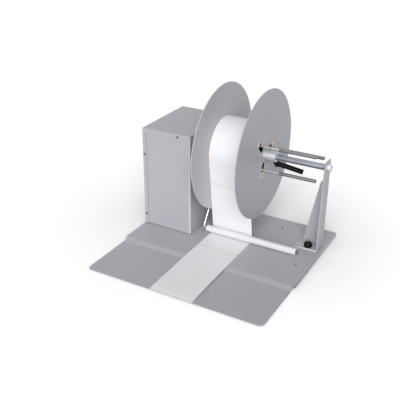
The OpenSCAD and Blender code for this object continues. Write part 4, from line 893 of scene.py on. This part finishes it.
def add_mark(shape, at, facing, up, corners, width, height, hollow=0.0):
    """Adds a thin mark to a bmesh: 3 corners make an arrow head, 4 a bar, many a disc or a ring."""
    before = set(shape.verts)
    bmesh.ops.create_circle(shape, cap_ends=True, segments=corners, radius=0.5)
    new = [v for v in shape.verts if v not in before]
    if corners == 4:
        turned = Matrix.Rotation(math.pi / 4, 4, "Z") @ Matrix.Scale(math.sqrt(2), 4)
        bmesh.ops.transform(shape, matrix=turned, verts=new)
    bmesh.ops.scale(shape, vec=(width, height, 1), verts=new)
    faces = new[0].link_faces[:]
    if hollow:
        rim = bmesh.ops.inset_region(shape, faces=faces, thickness=hollow)["faces"]
        bmesh.ops.delete(shape, geom=faces, context="FACES_ONLY")
        faces = rim
    bmesh.ops.solidify(shape, geom=faces, thickness=MARK_T)
    new = [v for v in shape.verts if v not in before]
    bmesh.ops.translate(shape, vec=(0, 0, -MARK_SUNK - min(v.co.z for v in new)), verts=new)
    turn = Matrix((up.cross(facing), up, facing)).transposed().to_4x4()
    bmesh.ops.transform(shape, matrix=Matrix.Translation(at) @ turn, verts=new)


def marks_piece(name, shape, body):
    """Turns a bmesh of marks into a piece of white paint on a body."""
    bmesh.ops.recalc_face_normals(shape, faces=shape.faces)
    return new_piece(name, shape, body, mark_paint)


print("marks are", MARK_T, "m thick and sunk by", MARK_SUNK, "m")

# %% Marks on dial and rockers
REAR, UP = Vector((0, 1, 0)), Vector((0, 0, 1))
TICKS = range(-150, 151, 30)
TICK_OUT = 3.5 * MM
TICK_WIDTH, TICK_HEIGHT = 0.8 * MM, 3.2 * MM
BAR = (4, 0.9 * MM, 4 * MM, 0)
RING = (24, 4.6 * MM, 4.6 * MM, 1.0 * MM)
ARROW_UP = (3, 4 * MM, 4 * MM, 0)
ARROW_DOWN = (3, 4 * MM, -4 * MM, 0)
ROCKER_MARKS = {"power_rocker": (BAR, RING), "direction_rocker": (ARROW_UP, ARROW_DOWN)}

dial_at = middle("speed_knob")
dial_radius = (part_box("speed_knob")[1][0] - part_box("speed_knob")[0][0]) / 2
dial_at.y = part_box("housing_chassis")[1][1]
dial_marks = bmesh.new()
for angle in TICKS:
    outward = Matrix.Rotation(math.radians(angle), 3, "Y") @ UP
    tick_at = dial_at + outward * (dial_radius + TICK_OUT)
    add_mark(dial_marks, tick_at, REAR, outward, 4, TICK_WIDTH, TICK_HEIGHT)
marks_piece("dial_ticks", dial_marks, body_of_node["housing_chassis"])

for node, shapes in ROCKER_MARKS.items():
    rocker = merged_copy(node)
    halves = sorted(rocker.faces, key=lambda f: f.calc_area() * (f.normal.y > 0.9))[-2:]
    halves.sort(key=lambda f: -f.calc_center_median().z)
    rocker_marks = bmesh.new()
    for half, (corners, width, height, hollow) in zip(halves, shapes):
        facing = half.normal.copy()
        up = (UP - facing * facing.z).normalized()
        add_mark(rocker_marks, half.calc_center_median(), facing, up, corners, width, height, hollow)
    rocker.free()
    marks_piece(node + "_marks", rocker_marks, body_of_node[node])
print("ticks:", len(TICKS), "rockers with marks:", list(ROCKER_MARKS))

# %% The knob's filled groove
GROOVE_HALF = 0.65 * MM
GROOVE_FROM, GROOVE_TO = 0.25 * MM, 0.95 * MM

knob_piece = bpy.data.objects["speed_knob_eased"]
knob_piece.data.materials.append(mark_paint)
knob_face_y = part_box("speed_knob")[1][1]
filled = 0
for face in knob_piece.data.polygons:
    at = face.center
    in_groove = abs(at.x - dial_at.x) < GROOVE_HALF and at.z > dial_at.z
    if in_groove and GROOVE_FROM < knob_face_y - at.y < GROOVE_TO:
        face.material_index, filled = 1, filled + 1
print("filled faces of the knob's groove:", filled)

# %% [markdown]
# ## The parts inside
# What sits inside the housing keeps its CAD shape and only gets its finish.

# %% Finishes on the parts that keep their CAD shape
eased = [node for group in EDGE_WIDTHS.values() for node in group]
own = ["base_plate", "housing_chassis", "housing_cover", "cover_screws", "roller_screw", "inner_flange",
       "foot_thumbscrew", "label_web", "label_roll"]
kept = [n for n in nodes if n not in eased + own]
for node in kept:
    nodes[node].data.materials.clear()
    nodes[node].data.materials.append(finish_of_slot[slot_of_node[node]])
print("CAD parts dressed:", len(kept))
